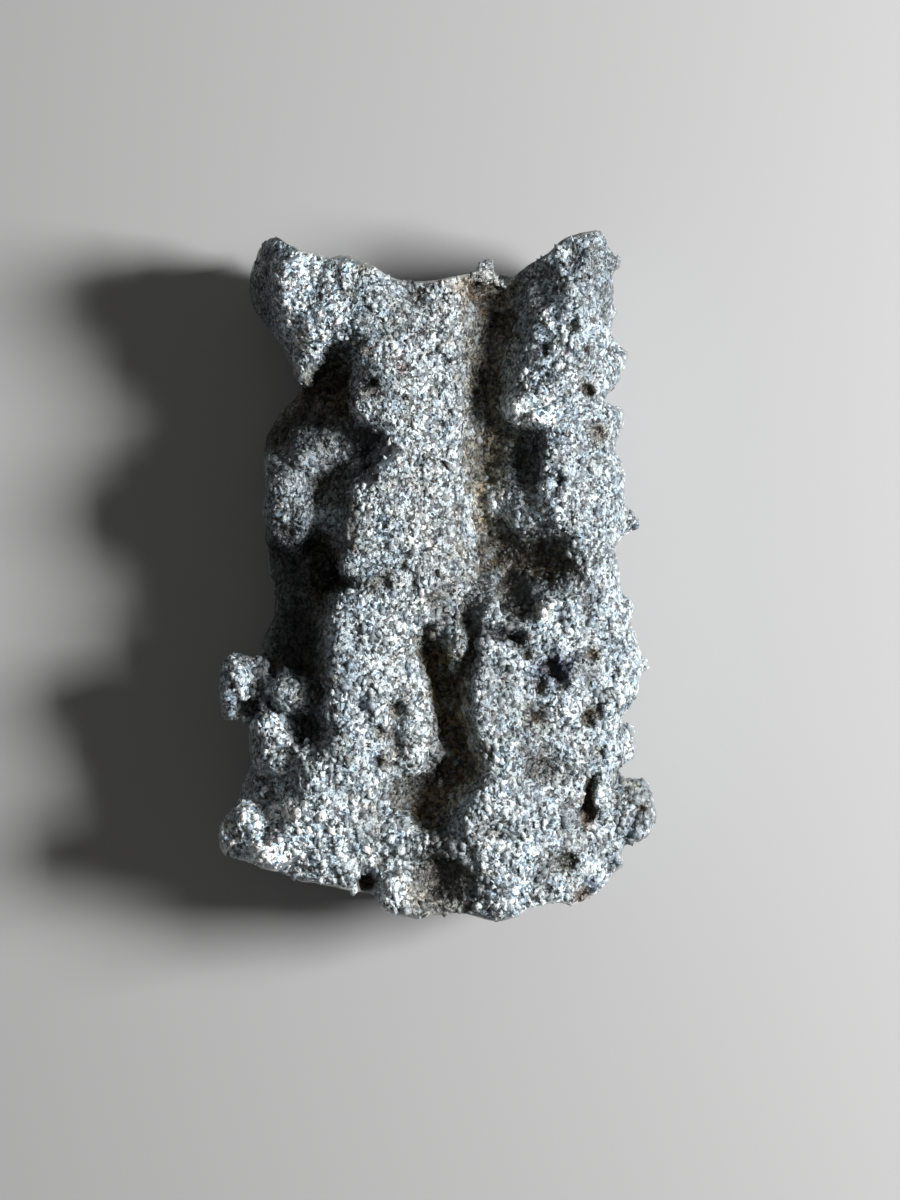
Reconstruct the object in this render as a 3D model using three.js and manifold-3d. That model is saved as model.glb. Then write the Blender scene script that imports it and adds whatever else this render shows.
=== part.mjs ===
// A broken length of sand fulgurite: the glassy, sand-crusted tube that lightning melts into dry sand.
// Millimetres, +Z up. The piece lies on its back: X runs across it, Y along the tube, and the origin is
// under the middle of its outline, on the surface that it rests on.
import * as THREE from "three";
import { ImprovedNoise } from "three/addons/math/ImprovedNoise.js";
import { mergeVertices } from "three/addons/utils/BufferGeometryUtils.js";
import Module from "manifold-3d";

const wasm = await Module();
wasm.setup();

// ---- driving dimensions ----
const FRONT_RISE = 5.6; // crust above the tube's mid-plane, before ridges and hollows
const BACK_RISE = 5.0; // crust below the mid-plane, before ridges and hollows
const LEAST_RISE = 1.6; // the thinnest that either side gets over the mid-plane
const WEAR_DEPTH = 1.0; // how deep the worn flats under the back ridges are cut
const ACROSS = 27; // faces across, along and through the tube's skin
const ALONG = 35;
const THROUGH = 4;
const SECTION_POWER = 2.3; // 2 is an ellipse, higher is boxier
const FACE_SHARE = 0.93; // how much of the half width the front and back faces take
const ROUGH_HEIGHT = 0.9; // uneven crust on top of the ridges and hollows
const ROUGH_SPACING = 2.2;
const FRACTURE_DEPTH = 1.5; // how deep the broken ends are pitted
const UNDERCUT = 1.6; // how far the ends fall back towards the underside
const LUMEN_RADIUS = [1.9, 1.4]; // half the width and height of the open glassy tube
const LUMEN_UNEVENNESS = 0.7;
const LUMEN_OVERRUN = 6;
const BACK_LUMPS = 9;
const KNOB_POWER = 3; // 2 is an ellipsoid, higher is boxier

// ---- the outline seen from above: four edges that share their corners, [x, y] ----
const leftEdge = [
  [-14.1, -19.8], [-15.3, -18.0], [-14.3, -16.2], [-13.8, -14.4], [-13.0, -12.4], [-12.7, -10.0],
  [-12.9, -7.0], [-12.6, -4.4], [-11.7, -2.4], [-11.5, -0.3], [-11.9, 2.4], [-12.3, 5.2], [-12.4, 8.6],
  [-11.7, 10.9], [-10.4, 12.4], [-10.1, 13.8], [-10.9, 15.6], [-12.2, 17.6], [-13.6, 19.6], [-13.1, 22.2],
];
const rightEdge = [
  [11.7, -22.1], [12.7, -20.8], [12.9, -18.6], [13.1, -16.0], [12.9, -13.6], [13.3, -12.0],
  [13.1, -9.9], [14.0, -8.6], [14.3, -6.6], [14.0, -4.6], [13.3, -2.6], [12.8, -0.8], [12.8, 1.6],
  [12.9, 4.0], [13.0, 6.6], [12.5, 8.8], [12.9, 10.8], [12.2, 12.2], [12.9, 13.6], [12.9, 15.2],
  [12.3, 17.0], [12.3, 19.6], [12.5, 22.7],
];
const topEdge = [
  [-13.1, 22.2], [-12.2, 23.4], [-11.1, 23.8], [-10.0, 22.9], [-8.0, 22.1], [-5.2, 21.7], [-3.9, 20.8],
  [-0.6, 20.3], [2.0, 20.9], [3.5, 21.7], [5.0, 21.3], [7.2, 22.4], [9.0, 23.6], [11.3, 23.9], [12.5, 22.7],
];
const bottomEdge = [
  [-14.1, -19.8], [-12.7, -20.2], [-10.4, -20.6], [-7.0, -21.7], [-4.4, -22.1], [-3.2, -23.2],
  [-1.6, -23.7], [0.2, -23.3], [2.2, -23.4], [3.8, -23.9], [5.4, -23.5], [7.4, -22.6], [9.6, -23.0],
  [11.7, -22.1],
];

// ---- relief: each form follows its line, reaches so far to its left and right, and is so high or deep ----
const frontRidges = [
  { name: "upper spine", line: [[-4.4, 15], [-3.6, 12], [-2.7, 9], [-4.3, 5.5], [-6.0, 2.2], [-5.4, -1]],
    reach: [1.2, 6], height: 1.5 },
  { name: "lower left spine", line: [[-6.6, -2], [-7.6, -8], [-8.4, -12.0], [-9.0, -14]],
    reach: [1.0, 5], height: 1.5 },
  { name: "lower right mass", line: [[3.3, -4.6], [2.7, -9.6], [4.0, -12.8], [1.9, -16], [3.2, -18.4]],
    reach: [0.9, 5.6], height: 1.1 },
  { name: "right flank", line: [[10.6, 23], [9.4, 17], [8.2, 13], [8.8, 6], [9.0, -1]],
    reach: [2.4, 3], height: 1.3 },
  { name: "right rim", line: [[12.2, 21], [12.0, 12], [12.4, 2], [13.0, -6], [12.6, -13], [12.0, -20]],
    reach: [1.6, 2.5], height: 1.6 },
  { name: "upper right horn", line: [[10.9, 23], [10.2, 19], [9.6, 16]], reach: [2.6, 2], height: 2.1 },
  { name: "upper left horn", line: [[-10.9, 22.5], [-10.2, 19.5], [-8.8, 17.0]],
    reach: [2.2, 3.2], height: 2.0 },
  { name: "flank step", line: [[8.4, 13.4], [5.8, 12.9]], reach: [1.4, 1.6], height: 2.2 },
  { name: "shard", line: [[3.4, -0.4], [3.8, -2.8]], reach: [1.0, 1.0], height: 1.3 },
  { name: "lower left shelf", line: [[-12.2, -14.4], [-10.4, -16.6], [-8.5, -18]],
    reach: [2.0, 3], height: 2.1 },
  { name: "lower left wing", line: [[-15.2, -18.2], [-12.8, -19.6]], reach: [2.8, 2.8], height: 4.0 },
];
const frontHollows = [
  { name: "upper left hollow", line: [[-12.0, 10.4], [-9.6, 12.2], [-7.0, 13.9]],
    reach: [1.9, 1.9], height: 3.8 },
  { name: "glassy channel", line: [[-6.2, 12.4], [-5.0, 8.9], [-6.0, 7.2]], reach: [1.5, 1.2], height: 1.6 },
  { name: "left hollow", line: [[-8.2, 1.8], [-7.7, -1.2]], reach: [1.5, 1.1], height: 3.9 },
  { name: "low left side", line: [[-10.8, 1.2], [-10.4, -4.2]], reach: [2.0, 2.0], height: 3.0 },
  { name: "left groove", line: [[-9.2, -3.4], [-9.1, -8.0], [-9.6, -11.0]], reach: [1.2, 1.0], height: 2.8 },
  { name: "upper groove", line: [[3.9, 22], [3.3, 16], [2.9, 12]], reach: [1.2, 2.4], height: 3.4 },
  { name: "middle groove", line: [[2.9, 10], [3.0, 4], [3.7, 0.6]], reach: [1.2, 3.6], height: 3.4 },
  { name: "dark pocket", line: [[6.4, 8.8], [6.8, 6.8]], reach: [1.4, 1.2], height: 2.4 },
  { name: "olive pocket", line: [[4.6, 2.0], [7.9, 0.9]], reach: [2.2, 1.8], height: 4.0 },
  { name: "ledge groove", line: [[4.6, -3.6], [6.2, -4.0]], reach: [1.2, 1.2], height: 1.6 },
  { name: "lower groove", line: [[-0.7, -4.6], [0.4, -7.4], [0.8, -10], [2.0, -12.6], [-0.9, -15.6]],
    reach: [1.0, 1.1], height: 2.3 },
  { name: "lower groove's side arm", line: [[2.2, -2.8], [2.1, -5.4], [1.0, -8.2]],
    reach: [0.8, 0.8], height: 1.5 },
  { name: "lower hollow", line: [[-1.8, -15.2], [-0.4, -16.4]], reach: [1.5, 1.2], height: 2.7 },
  { name: "bottom hollow", line: [[0.4, -19.4], [1.4, -23]], reach: [2.0, 2.0], height: 0.7 },
  { name: "lobe furrow", line: [[-3.2, -8.5], [-2.6, -13.0]], reach: [1.0, 1.0], height: 0.9 },
  { name: "shallow dish", line: [[7.2, -10.4], [7.4, -13.6]], reach: [1.5, 1.5], height: 0.9 },
];
const backRidges = [
  { name: "left keel", line: [[-7.4, 20.5], [-6.2, 9], [-7.8, -4], [-6.4, -19]],
    reach: [3, 3], height: 1.8 },
  { name: "right keel", line: [[8.2, 20.5], [8.6, 10], [6.8, -3], [8.0, -19]], reach: [3, 3], height: 2.0 },
  { name: "cross keel", line: [[-6.2, 3], [0, -1], [7, -2]], reach: [2.4, 2.4], height: 1.2 },
  { name: "back horn", line: [[-11.8, 19.8], [-11.2, 18]], reach: [1.8, 1.8], height: 1.6 },
];
const backHollows = [
  { name: "upper back groove", line: [[1.2, 18], [0.2, 8]], reach: [2.2, 2.2], height: 0.9 },
  { name: "lower back groove", line: [[0.4, -8], [1.2, -18]], reach: [2.2, 2.2], height: 0.9 },
  { name: "back dimple", line: [[11.6, 3.5], [11.4, 1.5]], reach: [1.5, 1.5], height: 1.8 },
  { name: "back pocket", line: [[-10.6, 11.5], [-10.2, 9.5]], reach: [1.8, 1.8], height: 2.0 },
];

// ---- knobs of fused sand on the flanks: [x, y, z from the mid-plane] and half sizes ----
const knobs = [
  { name: "left shoulder", at: [-10.5, 4.8, 3.0], radii: [1.8, 3.3, 2.0] },
  { name: "shoulder crest", at: [-9.0, 8.4, 3.3], radii: [1.6, 1.9, 1.7] },
  { name: "outer knob", at: [-13.5, -7.6, 2.8], radii: [1.9, 2.4, 2.2] },
  { name: "middle knob", at: [-10.0, -8.0, 3.7], radii: [1.5, 1.6, 1.6] },
  { name: "inner knob", at: [-11.2, -12.0, 3.4], radii: [1.9, 2.3, 2.0] },
  { name: "wing", at: [-13.3, -17.8, 4.0], radii: [1.9, 2.0, 1.6] },
  { name: "lower right knob", at: [12.9, -16.4, 0.4], radii: [2.25, 2.3, 2.8] },
  { name: "horn tip", at: [-11.6, 22.0, 0.2], radii: [1.4, 1.7, 1.9] },
  { name: "notch corner", at: [11.7, 10.9, 0.9], radii: [1.4, 1.2, 1.8] },
  { name: "waist corner", at: [12.0, -2.9, 1.2], radii: [1.5, 1.7, 1.9] },
  { name: "side lump", at: [12.4, -11.7, -1.4], radii: [1.5, 1.6, 2.4] },
  { name: "foot corner", at: [11.8, -19.3, 1.6], radii: [1.4, 1.5, 1.9] },
  { name: "right side swelling", at: [11.2, 7.2, -1.6], radii: [1.9, 2.6, 2.3] },
  { name: "upper side swelling", at: [10.6, 17.2, -1.8], radii: [1.9, 2.4, 2.2] },
  { name: "left side swelling", at: [-10.6, 1.0, -1.4], radii: [1.5, 2.8, 2.4] },
  { name: "hollow's left rim", at: [-9.4, 14.7, 3.2], radii: [0.9, 1.8, 1.9] },
];
// ---- blunt spurs along the rim: [x, y, z from the mid-plane] of the root, [x, y] of the tip, radii ----
const rimSpurs = [
  { root: [11.0, 21.9, 1.2], tip: [12.9, 21.9], radii: [1.4, 0.6] },
  { root: [11.0, 18.5, -0.6], tip: [12.8, 18.6], radii: [0.9, 0.3] },
  { root: [11.2, 15.0, 1.0], tip: [13.7, 15.4], radii: [2.3, 0.5] },
  { root: [11.5, 3.7, 0.5], tip: [14.0, 3.9], radii: [1.6, 0.8] },
  { root: [12.4, -6.2, -0.5], tip: [14.8, -6.2], radii: [2.3, 0.6] },
  { root: [3.3, 20.0, 3.2], tip: [3.5, 22.1], radii: [1.7, 0.5] },
  { root: [-1.6, -21.8, 1.4], tip: [-1.7, -23.9], radii: [1.5, 0.5] },
];
// ---- pits where sand fell out: [x, y] from above, half sizes across, along and down, and the turn ----
const frontPits = [
  { at: [-4.5, 12.9], radii: [0.8, 0.9, 1.0], turn: 0 },
  { at: [4.7, 17.9], radii: [0.8, 0.9, 1.0], turn: 0 },
  { at: [10.4, 12.8], radii: [0.8, 0.5, 0.8], turn: 15 },
  { at: [8.1, 6.7], radii: [0.6, 0.95, 0.9], turn: 10 },
  { at: [8.3, -6.3], radii: [1.15, 0.95, 1.4], turn: -15 },
  { at: [10.8, -9.4], radii: [0.6, 1.1, 0.9], turn: -45 },
  { at: [8.9, -19.6], radii: [1.1, 0.8, 0.7], turn: -20 },
  { at: [10.4, -22.3], radii: [0.7, 0.6, 1.0], turn: 0 },
  { at: [-4.8, -20.8], radii: [0.8, 0.7, 0.9], turn: 0 },
  { at: [-13.1, -9.4], radii: [1.0, 0.9, 1.3], turn: 20 },
  { at: [-11.6, -15.0], radii: [0.9, 0.6, 0.9], turn: -20 },
];
const slot = { line: [[10.65, -13.7], [10.35, -16.6]], radius: 0.45, depth: 1.3 };
const notch = { tip: [11.1, 12.1], mouth: [14.1, 12.8], halfWidth: 0.85, halfHeight: 5 };
// ---- the open tube's middle line, [x, y, z from the mid-plane] ----
const lumenLine = [[1.6, -23.5, -0.6], [0.8, -12, -0.9], [1.1, 0, -0.6], [0.4, 12, -0.2], [0.2, 21, -0.4]];

const roughness = new ImprovedNoise();
const crustGlass = new THREE.MeshStandardMaterial({ color: 0x9aa0a3, roughness: 0.75, metalness: 0 });

function splineThrough(points) {
  return new THREE.SplineCurve(points.map(([x, y]) => new THREE.Vector2(x, y)));
}

const left = splineThrough(leftEdge);
const right = splineThrough(rightEdge);
const top = splineThrough(topEdge);
const bottom = splineThrough(bottomEdge);

// A place in the outline, from share 0 to 1 across and 0 to 1 along: the patch blended from its four edges.
function placeInOutline(across, along) {
  const sides = left.getPointAt(along).lerp(right.getPointAt(along), across);
  const ends = bottom.getPointAt(across).lerp(top.getPointAt(across), along);
  const low = left.getPoint(0).lerp(right.getPoint(0), across);
  const high = left.getPoint(1).lerp(right.getPoint(1), across);
  return sides.add(ends).sub(low.lerp(high, along));
}

// The step from the nearest point of a form's line to a place.
function stepFromLine(points, x, y) {
  const place = new THREE.Vector3(x, y, 0);
  const nearest = new THREE.Vector3();
  let best = new THREE.Vector3(Infinity, 0, 0);
  for (let i = 1; i < points.length; i++) {
    const start = new THREE.Vector3(...points[i - 1], 0);
    const end = new THREE.Vector3(...points[i], 0);
    new THREE.Line3(start, end).closestPointToPoint(place, true, nearest);
    const step = place.clone().sub(nearest);
    if (step.length() < best.length()) best = step;
  }
  return best;
}

// How high the forms stand at a place: where two meet, the higher one carries.
function reliefAt(forms, x, y) {
  const heights = forms.map(({ line, reach: [toLeft, toRight], height }) => {
    const step = stepFromLine(line, x, y);
    const distance = step.length();
    const rightness = distance > 0 ? (1 + step.x / distance) / 2 : 0.5;
    const spread = distance / THREE.MathUtils.lerp(toLeft, toRight, rightness);
    return height * Math.exp(-(spread ** 2));
  });
  return heights.reduce((sum, height) => sum + height ** 3, 0) ** (1 / 3);
}

function riseAt(rise, ridges, hollows, x, y) {
  const rough = ROUGH_HEIGHT * roughness.noise(x / ROUGH_SPACING, y / ROUGH_SPACING, rise);
  return Math.max(LEAST_RISE, rise + reliefAt(ridges, x, y) - reliefAt(hollows, x, y) + rough);
}

// The other half width of a rounded section whose half width here is share.
function roundedBy(share) {
  return (1 - Math.abs(share) ** SECTION_POWER) ** (1 / SECTION_POWER);
}

// How far the body falls back at a place near its ends, more so towards the underside.
function undercutAt(x, z, v) {
  const depth = THREE.MathUtils.smoothstep(3 - z, 0, 9);
  const uneven = 1 + 1.2 * roughness.noise(x / 5, z / 5, v);
  return UNDERCUT * uneven * depth * v ** 9;
}

// Folds each four-cornered face along the shorter of its two diagonals, so that steep slopes stay even.
function turnDiagonals(geometry) {
  const { index } = geometry;
  const position = geometry.attributes.position;
  const corner = (k) => new THREE.Vector3().fromBufferAttribute(position, k);
  for (let i = 0; i < index.count; i += 6) {
    const [a, b, d, c] = [index.getX(i), index.getX(i + 1), index.getX(i + 2), index.getX(i + 4)];
    if (corner(a).distanceTo(corner(c)) < corner(b).distanceTo(corner(d))) {
      [a, b, c, a, c, d].forEach((k, step) => index.setX(i + step, k));
    }
  }
}

// The tube's solid form: a box whose sides are bent to the outline and whose faces take the relief.
function tubeBody() {
  const geometry = new THREE.BoxGeometry(2, 2, 2, ACROSS, ALONG, THROUGH);
  const position = geometry.attributes.position;
  const sideShare = roundedBy(FACE_SHARE);
  for (let i = 0; i < position.count; i++) {
    const [u, v, w] = [position.getX(i), position.getY(i), position.getZ(i)];
    const across = u * roundedBy(w * sideShare);
    const level = w * roundedBy(u * FACE_SHARE);
    const place = placeInOutline((across + 1) / 2, (v + 1) / 2);
    const rise = level > 0
      ? riseAt(FRONT_RISE, frontRidges, frontHollows, place.x, place.y)
      : riseAt(BACK_RISE, backRidges, backHollows, place.x, place.y);
    const z = level * rise;
    const isInEnd = Math.abs(v) > 0.999 && Math.abs(w) < 0.999;
    const pitted = isInEnd ? v * FRACTURE_DEPTH * (0.35 + roughness.noise(place.x / 2.6, z / 1.8, v)) : 0;
    position.setXYZ(i, place.x, place.y - pitted - undercutAt(place.x, z, v), z);
  }
  turnDiagonals(geometry);
  return geometry;
}

// Makes a smooth shape uneven, as fused grains are: each point moves in or out from the middle.
function roughen(geometry, spacing, share, seed) {
  const position = geometry.attributes.position;
  const corner = new THREE.Vector3();
  for (let i = 0; i < position.count; i++) {
    corner.fromBufferAttribute(position, i);
    const { x, y, z } = corner;
    const bump = roughness.noise(x / spacing + seed * 1.7, y / spacing + seed * 0.3, z / spacing + seed);
    corner.multiplyScalar(1 + share * bump);
    position.setXYZ(i, corner.x, corner.y, corner.z);
  }
  return geometry;
}

function lump(radius, seed) {
  return roughen(new THREE.IcosahedronGeometry(radius, 1), radius, 0.35, seed);
}

function toSolid(geometry) {
  const bare = geometry.clone();
  bare.deleteAttribute("normal");
  bare.deleteAttribute("uv");
  const merged = mergeVertices(bare, 1e-4);
  const vertProperties = merged.attributes.position.array;
  const triVerts = new Uint32Array(merged.index.array);
  return new wasm.Manifold(new wasm.Mesh({ numProp: 3, vertProperties, triVerts }));
}

function toGeometry(solid) {
  const mesh = solid.getMesh();
  const geometry = new THREE.BufferGeometry();
  geometry.setAttribute("position", new THREE.BufferAttribute(mesh.vertProperties, 3));
  geometry.setIndex(new THREE.BufferAttribute(mesh.triVerts, 1));
  geometry.computeVertexNormals();
  return geometry;
}

// The height of a solid's skin above (side 1) or below (side -1) a place in the outline.
function skinAt(geometry, x, y, side) {
  const ray = new THREE.Raycaster(new THREE.Vector3(x, y, side * 50), new THREE.Vector3(0, 0, -side));
  return ray.intersectObject(new THREE.Mesh(geometry))[0].point.z;
}

// Turns a ball of radius 1 boxier, so that its top is flatter and its sides are steeper.
function squareOff(ball) {
  const position = ball.attributes.position;
  for (let i = 0; i < position.count; i++) {
    const [x, y, z] = [position.getX(i), position.getY(i), position.getZ(i)];
    const sum = Math.abs(x) ** KNOB_POWER + Math.abs(y) ** KNOB_POWER + Math.abs(z) ** KNOB_POWER;
    const reach = sum ** (-1 / KNOB_POWER);
    position.setXYZ(i, x * reach, y * reach, z * reach);
  }
  return ball;
}

function knobSolids() {
  return knobs.map(({ at, radii }, i) => {
    const isLargeInFront = at[2] > 0 && Math.max(...radii) > 1.95;
    const knob = squareOff(new THREE.IcosahedronGeometry(1, isLargeInFront ? 2 : 1)).scale(...radii);
    return toSolid(roughen(knob, 1.6, 0.3, i + 20).translate(...at));
  });
}

function spurSolids() {
  return rimSpurs.map(({ root: [rootX, rootY, rootZ], tip: [tipX, tipY], radii: [thick, thin] }, i) => {
    const length = Math.hypot(tipX - rootX, tipY - rootY);
    const spur = new THREE.CylinderGeometry(thin, thick, length, 6).translate(0, length / 2, 0);
    roughen(spur, 0.9, 0.25, i + 60).scale(1, 1, 0.8);
    spur.rotateZ(Math.atan2(tipY - rootY, tipX - rootX) - Math.PI / 2);
    return toSolid(spur.translate(rootX, rootY, rootZ));
  });
}

// Broad lumps over the back, spaced by the golden angle so that no rows show.
function backLumpSolids(body) {
  return Array.from({ length: BACK_LUMPS }, (_, i) => {
    const across = (i * 0.618034 + 0.2) % 1;
    const along = (i + 0.5) / BACK_LUMPS;
    const place = placeInOutline(0.08 + 0.84 * across, 0.06 + 0.88 * along);
    const radius = 1.5 + 1.1 * ((i * 0.37) % 1);
    const level = skinAt(body, place.x, place.y, -1) + 0.72 * radius;
    return toSolid(lump(radius, i + 40).translate(place.x, place.y, level));
  });
}

function pitSolids(body) {
  return frontPits.map(({ at: [x, y], radii, turn }, i) => {
    const pit = lump(1, i + 80).scale(...radii).rotateZ(THREE.MathUtils.degToRad(turn));
    return toSolid(pit.translate(x, y, skinAt(body, x, y, 1) + 0.2 * radii[2]));
  });
}

function slotSolid(body) {
  const [[startX, startY], [endX, endY]] = slot.line;
  const middle = new THREE.Vector2((startX + endX) / 2, (startY + endY) / 2);
  const length = Math.hypot(endX - startX, endY - startY);
  const cut = lump(1, 9).scale(slot.radius, length / 2 + slot.radius, slot.depth);
  cut.rotateZ(Math.atan2(endY - startY, endX - startX) + Math.PI / 2);
  return toSolid(cut.translate(middle.x, middle.y, skinAt(body, middle.x, middle.y, 1)));
}

// The crack in the right rim: a thin wedge that runs through the flange and closes inwards.
function notchSolid() {
  const [tipX, tipY] = notch.tip;
  const [mouthX, mouthY] = notch.mouth;
  const length = Math.hypot(mouthX - tipX, mouthY - tipY);
  const wedge = new THREE.ConeGeometry(notch.halfWidth, length, 8).translate(0, -length / 2, 0);
  wedge.rotateZ(Math.atan2(mouthY - tipY, mouthX - tipX) + Math.PI / 2);
  wedge.scale(1, 1, notch.halfHeight / notch.halfWidth);
  return toSolid(wedge.translate(tipX, tipY, 0));
}

function lumenSolid() {
  const points = lumenLine.map((point) => new THREE.Vector3(...point));
  const first = points[0].clone().setY(points[0].y - LUMEN_OVERRUN);
  const last = points.at(-1).clone().setY(points.at(-1).y + LUMEN_OVERRUN);
  const path = new THREE.CatmullRomCurve3([first, ...points, last]);
  const [halfWide, halfHigh] = LUMEN_RADIUS;
  const section = new THREE.Shape().absellipse(0, 0, halfHigh, halfWide, 0, 2 * Math.PI);
  const options = { steps: 10, curveSegments: 5, bevelEnabled: false, extrudePath: path };
  const bore = new THREE.ExtrudeGeometry(section, options);
  const position = bore.attributes.position;
  for (let i = 0; i < position.count; i++) {
    const [x, y, z] = [position.getX(i), position.getY(i), position.getZ(i)];
    const aside = LUMEN_UNEVENNESS * roughness.noise(x / 1.4, y / 3, z / 1.4);
    const upward = LUMEN_UNEVENNESS * roughness.noise(x / 1.4 + 9, y / 3, z / 1.4);
    position.setXYZ(i, x + aside, y, z + upward);
  }
  return toSolid(bore);
}

// Cuts worn flats under the back ridges, and stands the solid on them over the origin.
function settleOnFlats(solid) {
  const { min, max } = solid.boundingBox();
  const worn = min[2] + WEAR_DEPTH;
  const ground = new THREE.BoxGeometry(100, 100, 20).translate(0, 0, worn - 10);
  return solid.subtract(toSolid(ground)).translate([-(min[0] + max[0]) / 2, -(min[1] + max[1]) / 2, -worn]);
}

const tube = tubeBody();
let solid = toSolid(tube);
for (const form of [...knobSolids(), ...spurSolids(), ...backLumpSolids(tube)]) solid = solid.add(form);
const uncut = toGeometry(solid);
for (const cut of [...pitSolids(uncut), slotSolid(uncut), notchSolid(), lumenSolid()]) {
  solid = solid.subtract(cut);
}

const fulgurite = new THREE.Mesh(toGeometry(settleOnFlats(solid)), crustGlass);
fulgurite.name = "fulgurite";

const part = new THREE.Group();
part.add(fulgurite);

export default part;
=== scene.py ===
"""A broken length of sand fulgurite, lying on its back on a pale floor: a body of grey-blue natural glass
with about 30,000 quartz sand grains welded on. Metres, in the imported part's frame.

The body is the CAD solid's own surface, remeshed finely and given its small forms: lumps, pits, furrows and
nubs. The grains are mesh as well: two solids in 48 uneven forms each, turned at random and joined into a few
pieces. The colours are a tint on the vertices, worked out from how hollow the surface is and from the lists
of places below, times procedural patterns in the materials."""

# The vertex tint carries painted shade in the hollows and zones and painted light in some zones; the
# materials paint glints along the sand cells' seams.
from types import SimpleNamespace

import bpy
import numpy as np
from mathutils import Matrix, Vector, noise


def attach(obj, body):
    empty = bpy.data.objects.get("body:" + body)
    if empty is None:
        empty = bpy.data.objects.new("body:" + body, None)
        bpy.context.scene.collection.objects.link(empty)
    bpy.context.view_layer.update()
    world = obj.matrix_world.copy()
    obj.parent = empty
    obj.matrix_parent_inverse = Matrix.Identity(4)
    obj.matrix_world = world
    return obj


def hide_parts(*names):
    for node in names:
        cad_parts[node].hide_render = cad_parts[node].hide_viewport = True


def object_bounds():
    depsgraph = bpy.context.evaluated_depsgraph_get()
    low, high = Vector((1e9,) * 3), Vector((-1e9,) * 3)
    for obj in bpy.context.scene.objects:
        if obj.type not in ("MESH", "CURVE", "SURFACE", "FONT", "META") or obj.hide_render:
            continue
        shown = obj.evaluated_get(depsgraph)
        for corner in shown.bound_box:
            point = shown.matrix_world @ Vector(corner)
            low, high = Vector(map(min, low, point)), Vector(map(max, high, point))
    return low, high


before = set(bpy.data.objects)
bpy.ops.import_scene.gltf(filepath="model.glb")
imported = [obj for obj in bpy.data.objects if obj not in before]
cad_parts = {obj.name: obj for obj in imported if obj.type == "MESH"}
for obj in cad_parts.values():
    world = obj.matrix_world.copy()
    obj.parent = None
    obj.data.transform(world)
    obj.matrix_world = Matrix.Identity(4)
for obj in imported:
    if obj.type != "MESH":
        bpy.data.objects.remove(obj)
cad_low, cad_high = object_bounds()
rng = np.random.default_rng(1698)

# Lengths are in millimetres. Only VOXEL and the numbers of the materials, lights and camera are for metres.
MM = 0.001
VOXEL = 0.00018  # how finely the body is remeshed
BANDS = 5  # the glass and the grains are split along the tube into so many meshes each

# ---- the body's form ----
MID_HEIGHT = 6.6  # the tube's mid-plane above the floor
GRAIN_ROOM = 0.15  # how far the glass stays inside the CAD skin, so that the grains' tips reach it
ROUNDING_STEPS = 18  # steps of smoothing that take the facets off the CAD surface
BLEND_ROUNDS = 90  # rounds of smoothing where forms flow into each other
CALM_ROUNDS = 8  # the same along the outline
CAVITY_ROUNDS = 240  # the same for the wide surface that hollows are measured from
OUTLINE_CELL = 0.2  # the grid that finds the outline seen from above
OUTLINE_REACH = 0.7  # the crust turns calm and glassy within this of the outline
CALM_REACH = 0.9  # the form is smoothed within this of the outline
EDGE_FORM_HALF_HEIGHT = 3  # how far nubs and bites reach above and below the mid-plane
VESICLES = 110  # small pits of the sides and the back
VESICLE_RADII = (0.28, 0.75)
FLOOR_GAP = 0.02  # how far the glass stays above the floor
SHOULDER_DROP = 0.55  # heights are pressed down from so far below the top of the CAD box
SHOULDER_SHARE = 0.35  # how much is left of what stands above that
END_ZONE = 18  # the broken ends lie beyond this y
LUMEN_REACH = 2.9  # the open tube's lining is within this of its middle line
LUMPS = [(0.30, 2.4, 3.0), (0.24, 1.1, 11.0)]  # height, width and pattern number of each noise
GRIT = [(0.15, 0.5, 23.0), (0.11, 0.27, 29.0)]

# ---- the noises of the pits' edges and of the colours: width and pattern number ----
PIT_EDGE_NOISE = (0.55, 47.0)
HUE_NOISE = (0.8, 71.0)
COOL_NOISE = (5.0, 33.0)
PATCH_NOISE = (3.0, 57.0)
MOTTLE_NOISE = (0.9, 41.0)
GRAIN_PATCH_NOISE = (2.0, 91.0)
GRAIN_CLUMP_NOISE = (0.7, 17.0)

# ---- colours, and the pattern of sand cells in the materials ----
WARM = np.array([1.42, 1.08, 0.50])  # what brown crust's grey is multiplied by
DARK_GLASS = np.array([0.018, 0.022, 0.032])
RIM_GLASS = np.array([0.32, 0.32, 0.305])
LUMEN_GLASS = np.array([0.20, 0.22, 0.22])
CELL_SCALE = 4800  # cells in a metre
CELL_WARP_SCALE = 5000
CELL_WARP = 0.0002  # how far the cells are bent, in metres

# ---- the grains ----
GRAIN_TRIES = 110000  # places tried, of which those with room are kept
GRAIN_RADIUS = 0.150  # the middle of the range
GRAIN_SPREAD = 0.38  # the spread of the radii's natural logarithm
GRAIN_RADII = (0.09, 0.36)  # the smallest and the largest
MARK_GRAIN_RADIUS = 0.14  # the largest in a dark mark
SINGLE_ROOM = 0.35  # how much room is kept around a single large grain
CLOSENESS = 0.66  # how near two grains may be, as a share of their radii together
SPACING_CELL = 0.5  # the grid in which a grain's neighbours are looked up
GRAIN_SHAPES = 48  # forms of each solid
GRAIN_STRETCH = np.array([0.94, 1.16, 1.0])  # grains are a little longer along the piece
GRAIN_SINK = (0.50, 0.95)  # how far a grain's middle is sunk, as a share of its radius
BALL_FROM = 0.19  # grains above this radius are balls, smaller ones are shards
TONE_SHARES = [0, 0.12, 0.3, 0.5, 0.7, 0.85, 1.0]  # the share of grains up to each of the tones
TONES = [0.03, 0.08, 0.26, 0.48, 0.70, 0.86, 0.95]

LIGHT_TARGET = (0, 0, 0.006)

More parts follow.
